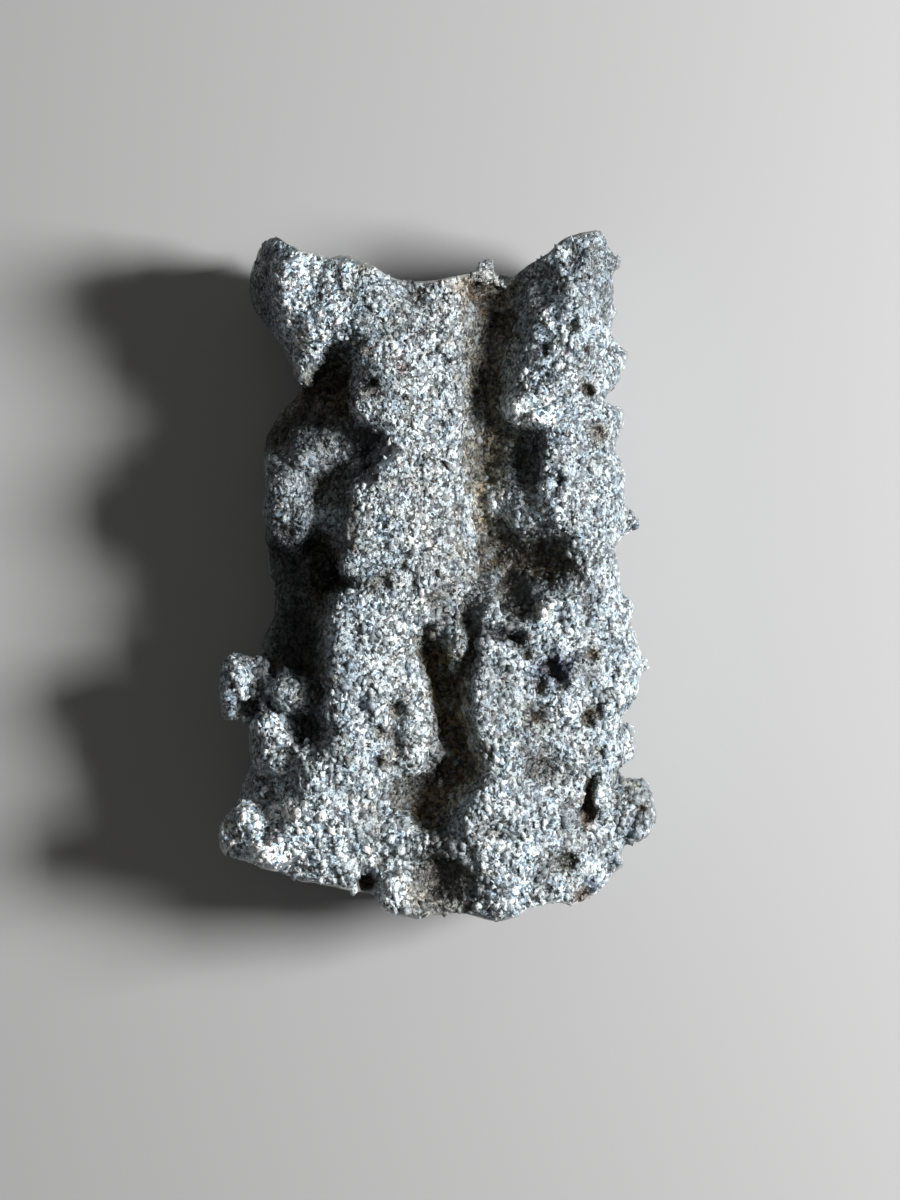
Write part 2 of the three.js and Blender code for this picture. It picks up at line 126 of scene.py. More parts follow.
# The lists give places as x, y seen from above. Where a list has parts, each runs from left to right.
# Pits where sand fell out or gas burst: x, y, half width, half length, depth.
PITS = [
    # the top, y above 12
    (-5.0, 15.5, 0.3, 0.65, 0.45), (-4.3, 12.8, 0.45, 0.45, 0.45), (-2.4, 14.1, 0.3, 0.3, 0.35),
    (4.5, 17.8, 0.45, 0.5, 0.6), (7.2, 15.7, 0.35, 0.35, 0.35), (9.3, 17.1, 0.45, 0.4, 0.55),
    (10.3, 12.9, 0.4, 0.28, 0.3), (10.35, 15.6, 0.25, 0.22, 0.5),
    # above the middle, y 0 to 12
    (-4.85, 8.45, 0.4, 0.25, 0.5), (-4.5, 7.5, 0.3, 0.3, 0.5), (-3.9, 9.6, 0.2, 0.25, 0.3),
    (-2.3, 0.8, 0.22, 0.22, 0.35), (4.5, 2.8, 0.3, 0.3, 0.4), (6.9, 8.3, 0.3, 0.35, 0.4),
    (7.5, 6.7, 0.28, 0.28, 0.15), (10.0, 1.0, 0.3, 0.3, 0.3), (11.0, 9.9, 0.65, 0.32, 0.35),
    # below the middle, y -12 to 0
    (-13.2, -9.2, 0.5, 0.4, 0.4), (-4.0, -10.5, 0.45, 0.45, 0.35), (-2.8, -9.0, 0.45, 0.45, 0.35),
    (4.8, -2.8, 0.3, 0.3, 0.5), (5.5, -3.9, 0.45, 0.25, 0.45), (6.1, -5.4, 0.35, 0.35, 0.4),
    (6.8, -9.7, 0.4, 0.4, 0.35), (7.1, -7.6, 0.35, 0.5, 0.5), (7.2, -6.6, 0.5, 0.4, 0.35),
    (7.9, -6.2, 0.9, 0.5, 0.35), (8.6, -7.2, 0.35, 0.35, 0.3), (10.3, -9.8, 0.3, 0.5, 0.3),
    (10.7, -5.3, 0.32, 0.45, 0.45), (12.5, -6.4, 0.25, 0.25, 0.35), (12.8, -10.7, 0.25, 0.25, 0.35),
    # the bottom, y below -12
    (-12.2, -14.2, 0.4, 0.4, 0.5), (-11.4, -15.1, 0.45, 0.45, 0.3), (-10.6, -17.0, 0.4, 0.4, 0.4),
    (-4.7, -20.9, 0.45, 0.4, 0.35), (-3.8, -12.6, 0.28, 0.28, 0.45), (6.9, -12.8, 0.6, 0.5, 0.3),
    (7.6, -21.4, 0.3, 0.3, 0.35), (9.0, -19.6, 0.5, 0.4, 0.2), (10.3, -22.4, 0.4, 0.35, 0.3),
    (10.7, -21.0, 0.25, 0.25, 0.35), (14.2, -16.0, 0.35, 0.25, 0.4),
]
# Furrows of the front, or low ridges where the depth is below 0: a line, half width, depth.
FURROWS = [
    # the top, y above 12
    ([(-10.1, 20.8), (-9.8, 17.4)], 1.1, -1.1),
    ([(-8.6, 16.6), (-8.5, 15.3)], 0.9, -0.9),
    ([(-6.7, 20.6), (-6.9, 17.4)], 1.0, -1.0),
    ([(-5.4, 20.5), (-5.2, 17.2)], 1.3, -0.9),
    ([(-4.9, 15.2), (-4.6, 11.8)], 0.9, -0.8),
    ([(-4.2, 19.5), (-3.4, 17.5), (-2.8, 11.0), (-3.4, 5.0), (-3.6, 0.5)], 1.5, -0.8),
    ([(-4.2, 12.2), (-3.7, 10.8)], 0.9, -0.6),
    ([(3.0, 13.4), (3.0, 10.8)], 0.6, -0.45),
    ([(6.2, 12.2), (8.3, 11.6)], 1.0, -0.9),
    # above the middle, y 0 to 12
    ([(-9.6, 8.0), (-11.2, 5.0)], 0.8, -0.5),
    ([(-9.0, 5.8), (-9.0, 3.8)], 0.8, -0.5),
    ([(-7.6, 0.0), (-5.2, -0.6), (-3.6, -0.4)], 0.6, 0.75),
    ([(-5.4, 10.4), (-5.4, 7.8)], 0.9, -0.8),
    ([(-4.9, 5.3), (-5.2, 2.0), (-5.8, 0.6)], 1.1, -0.7),
    ([(-3.6, 9.2), (-3.2, 8.2)], 0.7, 0.5),
    ([(2.9, 0.2), (2.3, -1.6)], 0.7, 0.35),
    ([(3.8, 5.6), (3.9, 3.2)], 0.8, -0.7),
    ([(5.0, 5.4), (5.8, 3.8)], 1.1, -0.6),
    ([(5.6, 11.6), (7.4, 11.0)], 0.9, -1.3),
    ([(6.0, 9.6), (6.3, 6.8)], 0.7, 0.7),
    ([(7.9, 8.6), (7.7, 6.2)], 0.7, -0.9),
    ([(8.6, 7.7), (8.6, 6.0)], 0.5, -0.4),
    ([(10.2, 3.6), (11.2, 3.2), (12.1, 3.4)], 0.18, 0.35),
    # below the middle, y -12 to 0
    ([(-12.2, -6.0), (-12.4, -8.8)], 0.6, 0.8),
    ([(-11.3, -9.7), (-10.2, -9.8)], 0.8, -0.6),
    ([(-6.4, -2.0), (-6.4, -7.5), (-6.2, -12.0)], 1.1, -0.9),
    ([(-5.0, -1.8), (-4.7, -5.5), (-4.0, -8.5)], 1.5, -0.7),
    ([(-3.2, -8.4), (-2.7, -13.2)], 0.55, 0.15),
    ([(-1.9, -10.2), (-1.8, -12.2)], 0.8, -0.6),
    ([(-0.6, -3.2), (-0.4, -4.0)], 0.7, -0.5),
    ([(-0.6, -3.6), (0.5, -7.5)], 0.5, 0.5),
    ([(1.4, -4.4), (1.3, -6.0)], 0.5, -0.9),
    ([(2.2, -1.2), (2.1, -5.0)], 0.7, -0.4),
    ([(3.1, -7.4), (3.1, -11.3)], 0.6, -0.7),
    ([(3.3, -2.8), (3.2, -6.5)], 0.5, -0.6),
    ([(3.4, -3.7), (5.7, -4.1)], 0.4, 0.9),
    ([(3.6, -0.3), (3.8, -2.9)], 0.4, -0.65),
    ([(4.2, -3.1), (6.2, -3.2)], 0.35, -0.35),
    ([(4.2, -11.8), (3.7, -14.6), (2.4, -16.8)], 0.8, -0.6),
    ([(4.8, -1.0), (6.0, -1.9)], 0.9, 0.9),
    ([(8.5, -6.0), (9.1, -6.8)], 0.8, -0.7),
    # the bottom, y below -12
    ([(-12.6, -16.8), (-11.8, -18.8)], 0.9, -0.6),
    ([(-10.6, -19.0), (-10.4, -17.6)], 0.8, -0.7),
    ([(-9.2, -12.6), (-9.1, -18.2)], 1.1, -0.8),
    ([(-8.3, -12.6), (-7.6, -15.2), (-7.2, -17.0)], 1.1, -0.8),
    ([(-3.3, -20.8), (-3.2, -22.4)], 0.9, -1.0),
    ([(-2.4, -20.5), (-2.2, -22.5)], 1.0, -0.6),
    ([(-1.4, -14.4), (-2.2, -15.0)], 0.8, 0.5),
    ([(-0.8, -18.3), (1.0, -18.5)], 0.8, -0.8),
    ([(0.0, -20.0), (0.1, -22.4)], 0.8, 0.8),
    ([(0.6, -13.0), (-0.6, -14.4)], 0.8, 0.6),
    ([(10.3, -15.6), (10.3, -16.5)], 0.35, 0.3),
    ([(10.8, -14.2), (10.8, -15.1)], 0.4, -0.3),
    ([(11.3, -13.8), (11.3, -16.0)], 0.4, -0.4),
    ([(12.5, -13.8), (12.3, -16.2), (12.9, -18.9)], 0.2, 0.12),
    ([(13.2, -15.6), (13.9, -16.5), (13.2, -18.2)], 0.25, 0.3),
]
# Where neighbouring forms flow into each other: x, y, reach.
BLENDED = [
    (-9.5, 15.6, 1.5), (-12.0, -7.4, 0.9), (-9.9, -9.6, 1.0), (-12.2, -14.2, 1.0), (5.0, 12.6, 1.3),
    (4.1, 20.5, 1.2),
]
# Small nubs and bites of the outline: x, y, half width, how far out (or in, below 0).
EDGE_FORMS = [
    # the top, y above 12
    (-10.4, 23.4, 0.5, -0.2), (-10.1, 13.2, 0.8, -0.3), (-4.8, 21.6, 0.6, 0.35), (2.7, 21.1, 0.5, 0.35),
    (4.9, 21.0, 0.6, 0.3), (5.9, 21.8, 0.4, 0.3), (7.1, 22.4, 0.5, 0.25), (12.0, 12.3, 0.4, -1.3),
    (12.1, 21.1, 0.4, -0.4), (12.3, 17.4, 0.45, -0.35), (13.4, 15.4, 0.4, 0.45),
    # above the middle, y 0 to 12
    (12.4, 8.9, 0.6, -0.3), (12.7, 2.0, 0.6, -0.25), (12.9, 11.6, 0.5, 0.25),
    # below the middle, y -12 to 0
    (-15.0, -10.0, 0.5, 0.3), (13.2, -2.0, 0.5, 0.3), (13.3, -9.9, 0.45, -0.55), (14.5, -6.2, 0.4, 0.3),
    # the bottom, y below -12
    (-15.2, -17.8, 0.5, 0.3), (-13.6, -13.4, 0.4, 0.3), (-11.7, -20.6, 0.5, 0.35),
    (-3.6, -22.6, 0.6, -0.2), (3.8, -23.7, 0.7, 0.25), (7.6, -22.5, 0.9, -0.25), (9.9, -22.9, 0.6, 0.3),
    (10.2, -23.1, 0.35, 0.25), (12.9, -13.6, 0.5, -0.6), (13.0, -19.2, 0.5, -0.6),
    (13.8, -12.3, 0.5, 0.35), (14.3, -14.6, 0.4, 0.25), (15.1, -16.7, 0.45, 0.35),
]
# Bare dark glass: x, y, half width, half length.
BARE_GLASS = [
    (-4.6, 8.9, 1.7, 1.6), (-4.7, 7.2, 1.0, 1.3), (-3.7, 8.4, 1.1, 1.0), (-7.3, 0.4, 0.7, 1.3),
    (6.9, 9.3, 0.7, 0.9),
]
# Coloured marks: x, y, reach, colour that the crust's own is multiplied by, how strongly. They are brown
# stains and pale or grey patches; the dark marks on the pits are partly painted shade of the pits.
MARKS = [
    # the top, y above 12
    (-5.0, 15.5, 0.5, (0.5, 0.34, 0.22), 0.7), (-4.8, 21.3, 0.7, (0.8, 0.74, 0.54), 0.6),
    (-4.3, 12.8, 0.65, (0.28, 0.22, 0.18), 0.85), (-2.4, 14.1, 0.45, (0.62, 0.34, 0.28), 0.8),
    (1.9, 20.0, 1.1, (0.72, 0.5, 0.3), 0.6), (2.7, 19.4, 0.6, (0.5, 0.28, 0.14), 0.7),
    (3.1, 18.3, 0.45, (0.52, 0.3, 0.16), 0.6), (4.5, 19.6, 0.4, (0.4, 0.36, 0.4), 0.5),
    (7.2, 15.7, 0.5, (0.2, 0.2, 0.28), 0.8), (8.8, 15.2, 0.28, (0.5, 0.3, 0.28), 0.75),
    (9.3, 17.1, 0.55, (0.28, 0.25, 0.2), 0.85), (10.35, 15.6, 0.35, (0.3, 0.18, 0.15), 0.9),
    (10.35, 12.9, 0.6, (0.42, 0.27, 0.15), 0.8),
    # above the middle, y 0 to 12
    (-2.3, 0.8, 0.28, (0.25, 0.25, 0.12), 0.9), (11.2, 9.8, 0.8, (0.36, 0.27, 0.17), 0.85),
    # below the middle, y -12 to 0
    (-3.9, -10.8, 0.5, (0.3, 0.24, 0.16), 0.85), (-2.9, -9.0, 0.6, (0.5, 0.4, 0.32), 0.7),
    (4.5, -3.9, 0.7, (0.3, 0.32, 0.42), 0.7), (6.3, -5.2, 0.55, (0.3, 0.21, 0.13), 0.85),
    (6.8, -9.7, 0.5, (0.34, 0.22, 0.11), 0.85), (7.1, -7.6, 0.55, (0.22, 0.14, 0.07), 0.9),
    (7.2, -6.6, 0.8, (0.16, 0.16, 0.26), 0.9), (7.4, -2.5, 0.6, (1.0, 0.92, 0.72), 0.8),
    (8.3, -6.2, 1.0, (0.16, 0.16, 0.28), 0.85), (8.5, -7.4, 0.5, (0.18, 0.14, 0.11), 0.9),
    (10.4, -9.6, 0.75, (0.2, 0.13, 0.06), 0.92), (10.7, -5.3, 0.6, (0.28, 0.18, 0.08), 0.9),
    (11.3, -9.1, 0.5, (0.5, 0.55, 0.6), 0.8), (12.4, -5.2, 0.8, (0.6, 0.66, 0.78), 0.6),
    (12.5, -6.5, 0.4, (0.3, 0.3, 0.3), 0.8), (12.8, -10.7, 0.45, (0.32, 0.34, 0.38), 0.8),
    # the bottom, y below -12
    (-4.7, -20.9, 0.6, (0.46, 0.24, 0.12), 0.85), (-3.8, -12.6, 0.4, (0.28, 0.22, 0.1), 0.9),
    (-1.6, -21.6, 1.2, (0.95, 0.84, 0.68), 0.5), (0.4, -22.0, 1.8, (0.9, 0.8, 0.66), 0.5),
    (6.8, -12.8, 1.3, (0.38, 0.37, 0.36), 0.75), (7.2, -21.0, 0.4, (0.5, 0.5, 0.5), 0.5),
    (7.5, -21.5, 0.45, (0.26, 0.24, 0.2), 0.8), (8.9, -19.6, 0.9, (0.18, 0.17, 0.09), 0.92),
    (10.0, -22.0, 0.75, (0.34, 0.17, 0.1), 0.9), (10.2, -17.1, 0.5, (0.46, 0.32, 0.2), 0.7),
    (10.4, -15.2, 0.5, (0.44, 0.26, 0.15), 0.8), (10.4, -16.4, 0.8, (0.34, 0.2, 0.11), 0.85),
    (10.5, -14.3, 0.5, (0.42, 0.32, 0.24), 0.75), (10.6, -21.1, 0.5, (0.32, 0.34, 0.44), 0.8),
    (13.5, -14.5, 0.7, (1.0, 0.9, 0.72), 0.6), (13.5, -17.3, 0.8, (0.42, 0.46, 0.54), 0.7),
    (14.2, -16.0, 0.45, (0.4, 0.26, 0.14), 0.85),
]
# Single large pale grains: x, y, half width.
LARGE_GRAINS = [
    (-10.4, 4.2, 0.3), (-6.2, -4.3, 0.3), (-5.5, 0.25, 0.22), (-14.3, -6.8, 0.3), (8.0, 4.3, 0.22),
    (6.1, 13.3, 0.22), (8.4, -15.5, 0.26), (3.5, -19.9, 0.26), (7.5, -2.5, 0.36), (-0.9, -9.0, 0.28),
    (5.1, -12.9, 0.26), (9.7, -11.6, 0.24), (-6.6, -6.3, 0.24), (2.9, 5.6, 0.22), (-2.2, 2.6, 0.24),
]
# The open tube's middle line: x, y, height.
LUMEN_LINE = [
    (1.6, -23.5, 5.8), (0.8, -12.0, 5.5), (1.1, 0.0, 5.8), (0.4, 12.0, 6.2), (0.2, 21.0, 6.0),
]
# Painted shade and painted light on the crust, with brown stain: a line, its reach, how much painted shade
# darkens it (below 0: painted light makes it paler), how brown it is.
SHADE_LIGHT_AND_STAIN_ZONES = [
    # the top, y above 12
    ([(-12.4, 22.2), (-12.4, 18.2)], 1.3, 0.5, 0.0),
    ([(-9.4, 20.5), (-9.0, 17.5)], 2.0, -0.6, 0.0),
    ([(-9.2, 17.8), (-8.8, 16.9)], 1.0, -0.7, 0.0),
    ([(-7.8, 15.9), (-6.0, 15.6)], 0.7, -0.5, 0.0),
    ([(-7.6, 21.2), (-6.0, 20.6)], 0.9, -0.5, 0.0),
    ([(-6.4, 20.5), (-6.6, 17.6)], 1.0, -0.3, 0.0),
    ([(-4.6, 13.0), (-4.4, 12.4)], 0.8, 0.4, 0.2),
    ([(-2.8, 15.8), (-3.2, 15.6)], 0.8, -0.15, 0.0),
    ([(-2.2, 19.2), (-1.0, 17.4)], 1.2, 0.25, 0.0),
    ([(1.5, 14.6), (1.5, 12.2)], 0.7, 0.2, 0.2),
    ([(2.5, 20.5), (2.4, 12.0), (2.7, 6.5)], 1.0, 0.36, 0.6),
    ([(2.9, 20.4), (2.9, 17.0)], 0.7, 0.35, 0.6),
    ([(3.0, 13.4), (3.1, 8.2)], 0.9, -0.5, 0.0),
    ([(4.4, 21), (3.9, 16), (3.6, 12), (3.8, 4)], 1.5, 0.32, 0.9),
    ([(4.6, 20.2), (5.0, 18.2)], 0.9, -0.8, 0.0),
    ([(6.2, 21.0), (5.9, 17.4)], 1.5, 0.4, 0.0),
    ([(7.2, 17.6), (7.6, 16.6)], 0.8, -0.3, 0.0),
    ([(7.6, 17.4), (8.6, 15.4)], 1.0, -0.35, 0.0),
    ([(8.9, 14.6), (9.0, 13.9)], 0.8, -0.25, 0.0),
    ([(10.0, 14.5), (10.8, 2.0)], 2.6, 0.2, 0.0),
    ([(11.2, 23.0), (10.8, 19.5)], 2.2, 0.45, 0.0),
    # above the middle, y 0 to 12
    ([(-11.6, 10.2), (-10.0, 12.2), (-7.5, 13.0), (-7.4, 11.6)], 1.7, 0.62, 1.5),
    ([(-11.6, 9.6), (-8.6, 10.8)], 1.0, 0.75, 1.0),
    ([(-10.8, 1.4), (-10.6, -4.6)], 2.1, 0.85, 0.3),
    ([(-9.8, 8.6), (-11.2, 6.6)], 0.9, 0.3, 0.1),
    ([(-9.6, 10.3), (-8.4, 9.6)], 0.9, 0.5, 0.6),
    ([(-8.2, 5.4), (-7.4, 5.2)], 1.1, -0.6, 0.3),
    ([(-8.0, 9.4), (-11.0, 3.0)], 2.0, 0.42, 0.0),
    ([(-8.0, 1.8), (-8.2, -1.5)], 1.4, 0.7, 0.8),
    ([(-6.3, 9.8), (-6.6, 7.6)], 0.8, 0.1, 0.4),
    ([(-6.3, 8.7), (-6.0, 7.9)], 0.7, -0.5, 0.0),
    ([(-5.9, 4.8), (-5.9, 2.4)], 0.7, 0.55, 0.8),
    ([(-4.7, 7.4), (-4.6, 6.3)], 0.6, 0.45, 0.1),
    ([(-4.4, 11.4), (-4.6, 10.4)], 0.8, -0.35, 0.0),
    ([(-1.6, 9.8), (-2.6, 9.4)], 1.2, -0.18, 0.0),
    ([(0.0, 1.3), (-0.1, 0.2)], 0.8, 0.25, 0.0),
    ([(1.4, 4.4), (1.4, 0.4)], 0.8, 0.25, 0.1),
    ([(1.4, 4.2), (1.2, 3.4)], 0.9, 0.25, 0.1),
    ([(2.9, 0.4), (2.5, -3.0)], 0.7, 0.4, 0.6),
    ([(3.0, 5.6), (3.0, 3.4)], 0.9, -0.6, 0.0),
    ([(3.2, 5.8), (4.4, 3.8)], 1.1, -0.7, 0.0),
    ([(4.6, 1.8), (8.3, 0.9)], 1.9, 0.6, 0.9),
    ([(5.2, 9.8), (5.8, 5.5)], 1.9, 0.15, 0.35),
    ([(5.6, 11.4), (7.4, 11.0)], 1.0, -1.6, 0.0),
    ([(5.9, 11.2), (6.1, 10.0)], 0.8, -0.5, 0.0),
    ([(6.0, 10.3), (6.1, 9.6)], 0.7, -0.5, 0.0),
    ([(6.2, 9.3), (6.6, 7.2)], 1.0, 0.4, 0.0),
    ([(6.7, 7.2), (6.7, 6.2)], 0.9, -0.5, 0.0),
    ([(10.2, 6.6), (10.4, 7.2)], 0.9, 0.2, 0.0),
    # below the middle, y -12 to 0
    ([(-12.3, -6.5), (-12.3, -9.5)], 0.5, 0.6, 0.2),
    ([(-11.4, -9.8), (-10.6, -11.6)], 0.9, -0.45, 0.0),
    ([(-9.2, -8.0), (-9.0, -8.6)], 0.7, -0.6, 0.0),
    ([(-8.9, -3.5), (-8.7, -12.0)], 1.3, 0.55, 0.4),
    ([(-7.2, -0.2), (-5.2, -0.7), (-3.4, -0.4)], 0.6, 0.55, 0.5),
    ([(-5.8, -5.2), (-4.4, -5.2)], 0.8, -0.35, 0.0),
    ([(-3.2, -2.0), (-3.0, -3.6)], 0.8, -0.2, 0.0),
    ([(-2.6, -11.0), (-2.4, -12.2)], 0.8, -0.4, 0.0),
    ([(-1.7, -0.6), (-1.4, -1.2)], 0.8, -0.3, 0.0),
    ([(0.2, -5.8), (0.6, -7.6), (1.1, -10.0), (2.4, -12.6), (-0.6, -15.8)], 1.25, 0.25, 1.8),
    ([(0.4, -0.9), (0.2, -3.0)], 0.9, 0.6, 0.2),
    ([(2.1, -1.8), (2.0, -5.4), (1.4, -8.0)], 0.8, 0.3, 0.8),
    ([(2.5, -1.4), (2.2, -5.2)], 0.8, 0.35, 0.4),
    ([(2.6, -3.7), (4.8, -3.8)], 0.7, 0.5, 0.3),
    ([(2.8, -3.6), (3.4, -3.8)], 0.6, 0.35, 0.1),
    ([(2.9, -0.4), (2.9, -1.4)], 0.6, 0.35, 0.2),
    ([(3.1, -5.4), (3.0, -9.8)], 0.7, 0.22, 0.1),
    ([(3.5, -0.6), (3.7, -2.8)], 0.5, -0.5, 0.0),
    ([(4.0, -0.9), (9.2, -0.6)], 0.9, 0.4, 0.3),
    ([(4.2, -6.8), (4.2, -8.2)], 1.0, 0.2, 0.0),
    ([(4.4, -6.4), (4.4, -9.0)], 1.1, 0.32, 0.0),
    ([(4.5, -0.8), (4.6, -2.5)], 0.5, 0.45, 0.4),
    ([(4.5, -6.3), (4.4, -7.2)], 0.8, 0.25, 0.0),
    ([(4.9, -1.0), (6.0, -2.0)], 1.2, 0.55, 0.6),
    ([(5.6, -2.6), (4.6, -3.6)], 1.2, 0.25, 0.2),
    ([(6.0, -10.8), (6.0, -16.0)], 1.0, 0.18, 0.1),
    ([(6.0, -11.0), (6.0, -11.6)], 0.7, 0.35, 0.0),
    ([(7.0, -3.0), (6.8, -2.2)], 0.8, -0.4, 0.0),
    ([(7.4, -2.2), (6.6, -2.6)], 0.6, -0.5, 0.0),
    ([(7.6, -8.6), (8.8, -9.5)], 0.9, -0.45, 0.0),
    ([(10.2, -5.4), (10.4, -6.8)], 0.8, 0.35, 0.3),
    ([(10.3, -2.0), (10.5, -2.8)], 0.7, 0.3, 0.0),
    ([(10.4, -0.5), (10.8, -1.4)], 0.9, 0.35, 0.1),
    ([(10.5, -6.6), (10.6, -8.4)], 0.7, 0.3, 0.0),
    # the bottom, y below -12
    ([(-13.2, -18.0), (-10.0, -17.4)], 2.6, -0.4, 0.0),
    ([(-12.6, -18.9), (-11.4, -18.7)], 0.9, -0.6, 0.0),
    ([(-12.2, -17.2), (-11.8, -18.8)], 0.9, -0.55, 0.0),
    ([(-10.9, -15.2), (-10.6, -16.2)], 0.9, -0.5, 0.0),
    ([(-10.8, -18.9), (-9.4, -18.6)], 1.0, -0.6, 0.0),
    ([(-10.7, -13.8), (-10.6, -15.8)], 0.9, -0.6, 0.0),
    ([(-10.7, -16.2), (-10.4, -15.3)], 0.9, -0.55, 0.0),
    ([(-9.2, -12.2), (-8.6, -13.2)], 0.9, -0.6, 0.0),
    ([(-7.7, -17.1), (-7.2, -17.6)], 0.8, -0.35, 0.0),
    ([(-6.2, -18.8), (-4.4, -18.9)], 0.9, -0.35, 0.0),
    ([(-4.7, -16.7), (-4.4, -17.8)], 0.9, 0.4, 0.1),
    ([(-3.3, -21.2), (-3.0, -22.4)], 0.9, -0.45, 0.0),
    ([(-3.0, -14.0), (-3.0, -14.6)], 0.8, 0.3, 0.2),
    ([(-3.0, -21.0), (-3.2, -22.4)], 0.8, -0.45, 0.0),
    ([(-0.9, -20.6), (-1.2, -22.6)], 0.9, 0.5, 0.3),
    ([(0.5, -19.2), (1.4, -22.8)], 2.0, 0.55, 0.4),
    ([(3.0, -16.9), (3.0, -17.8)], 0.8, 0.35, 0.2),
    ([(4.4, -15.4), (4.6, -16.8)], 0.8, -0.3, 0.0),
    ([(6.0, -18.6), (6.0, -19.3)], 0.7, -0.4, 0.0),
    ([(7.4, -18.6), (7.4, -20.8)], 0.7, 0.35, 0.2),
    ([(9.0, -15.4), (9.0, -16.2)], 0.7, 0.35, 0.1),
    ([(9.0, -16.8), (9.0, -17.8)], 0.8, 0.4, 0.1),
    ([(10.4, -13.3), (10.6, -12.4)], 0.8, 0.4, 0.2),
    ([(13.9, -15.2), (13.9, -17.6)], 1.5, 0.3, 0.2),
]


# ---- geometry helpers, all in millimetres ----
def field(points, width, pattern):
    """Smooth noise in about -1 to 1, its lumps about so wide. Each pattern number gives another noise."""
    shift = Vector((pattern, pattern * 1.7, -pattern))
    return np.array([noise.noise(Vector(p) / width + shift) for p in points.tolist()])


def corner_normals(points, tris):
    """Area-weighted normals at the vertices."""
    a, b, c = points[tris[:, 0]], points[tris[:, 1]], points[tris[:, 2]]
    face = np.cross(b - a, c - a)
    total = np.zeros_like(points)
    for k in range(3):
        for axis in range(3):
            total[:, axis] += np.bincount(tris[:, k], face[:, axis], len(points))
    return total / np.maximum(np.linalg.norm(total, axis=1, keepdims=True), 1e-12)


def smoothed(values, tris, rounds):
    """Values at the vertices, averaged with their neighbours' so many times."""
    edges = np.vstack([tris[:, [0, 1]], tris[:, [1, 2]], tris[:, [2, 0]]])
    n = len(values)
    count = np.bincount(edges[:, 0], minlength=n) + 1.0
    out = values.astype(float).copy()
    columns = out.reshape(n, -1)
    for _ in range(rounds):
        for k in range(columns.shape[1]):
            column = columns[:, k]
            columns[:, k] = (column + np.bincount(edges[:, 0], column[edges[:, 1]], n)) / count
    return out


def distance_to_line(spots, line):
    """How far each x, y is from a line through several points."""
    best = np.full(len(spots), np.inf)
    for start, end in zip(line[:-1], line[1:]):
        start, end = np.array(start, float), np.array(end, float)
        along = np.clip(((spots - start) @ (end - start)) / ((end - start) @ (end - start)), 0, 1)
        best = np.minimum(best, np.linalg.norm(spots - start - along[:, None] * (end - start), axis=1))
    return best


def patches_at(spots, patches):
    """How far inside the nearest of several rounded patches each x, y is: 1 in the middle, 0 outside."""
    most = np.zeros(len(spots))
    for x, y, half_wide, half_long in patches:
        away = np.hypot((spots[:, 0] - x) / half_wide, (spots[:, 1] - y) / half_long)
        most = np.maximum(most, np.clip(1.6 - 1.2 * away, 0, 1))
    return most


def front_share(points, from_height, rise):
    """1 on the front of the piece and 0 behind it: it rises from a height above the mid-plane."""
    return np.clip((points[:, 2] - MID_HEIGHT - from_height) / rise, 0, 1)


def grown(mask):
    """A mask with the cells beside it."""
    out = mask.copy()
    for axis in (0, 1):
        out |= np.roll(mask, 1, axis) | np.roll(mask, -1, axis)
    return out


def looked_up(grid, spots):
    """The grid's values at places between its cells."""
    low = np.floor(spots).astype(int)
    part = spots - low
    value = np.zeros(len(spots))
    for i in (0, 1):
        for j in (0, 1):
            share = (part[:, 0] if i else 1 - part[:, 0]) * (part[:, 1] if j else 1 - part[:, 1])
            value += share * grid[low[:, 0] + i, low[:, 1] + j]
    return value


def near_outline(points, reach):
    """1 where a vertex is on the outline seen from above, 0 where it is over reach from it.

    A grid is filled where there are vertices and then peeled, so that each cell counts its layers inwards."""
    spots = (points[:, :2] - points[:, :2].min(0)) / OUTLINE_CELL + 4
    filled = np.zeros(spots.max(0).astype(int) + 6, bool)
    filled[tuple(np.round(spots).astype(int).T)] = True
    inside = ~grown(~grown(filled))
    layers = np.zeros(inside.shape)
    for _ in range(int(reach / OUTLINE_CELL) + 3):
        layers += inside
        inside = ~grown(~inside)
    for axis in (0, 1):
        layers = (np.roll(layers, 1, axis) + 2 * layers + np.roll(layers, -1, axis)) / 4
    return np.clip(1 - (looked_up(layers, spots) - 0.8) * OUTLINE_CELL / reach, 0, 1)


# ---- the body's form ----
def cad_surface(cad):
    """The CAD solid's own surface, remeshed finely and rounded: vertices in millimetres, and triangles."""
    source = bpy.data.objects.new("core_source", cad.data.copy())
    bpy.context.scene.collection.objects.link(source)
    fine = source.modifiers.new("fine", "REMESH")
    fine.mode = "VOXEL"
    fine.voxel_size = VOXEL
    rounding = source.modifiers.new("rounding", "SMOOTH")
    rounding.factor = 0.5
    rounding.iterations = ROUNDING_STEPS
    graph = bpy.context.evaluated_depsgraph_get()
    mesh = bpy.data.meshes.new_from_object(source.evaluated_get(graph))
    bpy.data.objects.remove(source)
    points = np.zeros(len(mesh.vertices) * 3)
    mesh.vertices.foreach_get("co", points)
    mesh.calc_loop_triangles()
    tris = np.zeros(len(mesh.loop_triangles) * 3, int)
    mesh.loop_triangles.foreach_get("vertices", tris)
    bpy.data.meshes.remove(mesh)
    return points.reshape(-1, 3) / MM, tris.reshape(-1, 3)


def blended(points, tris):
    """The surface with neighbouring forms flowing into each other at the places in BLENDED."""
    flowing = smoothed(points, tris, BLEND_ROUNDS)
    front = front_share(points, 0, 2)
    for x, y, reach in BLENDED:
        amount = 0.9 * front * np.exp(-((np.hypot(points[:, 0] - x, points[:, 1] - y) / reach) ** 4))
        points = points + (flowing - points) * amount[:, None]
    return points


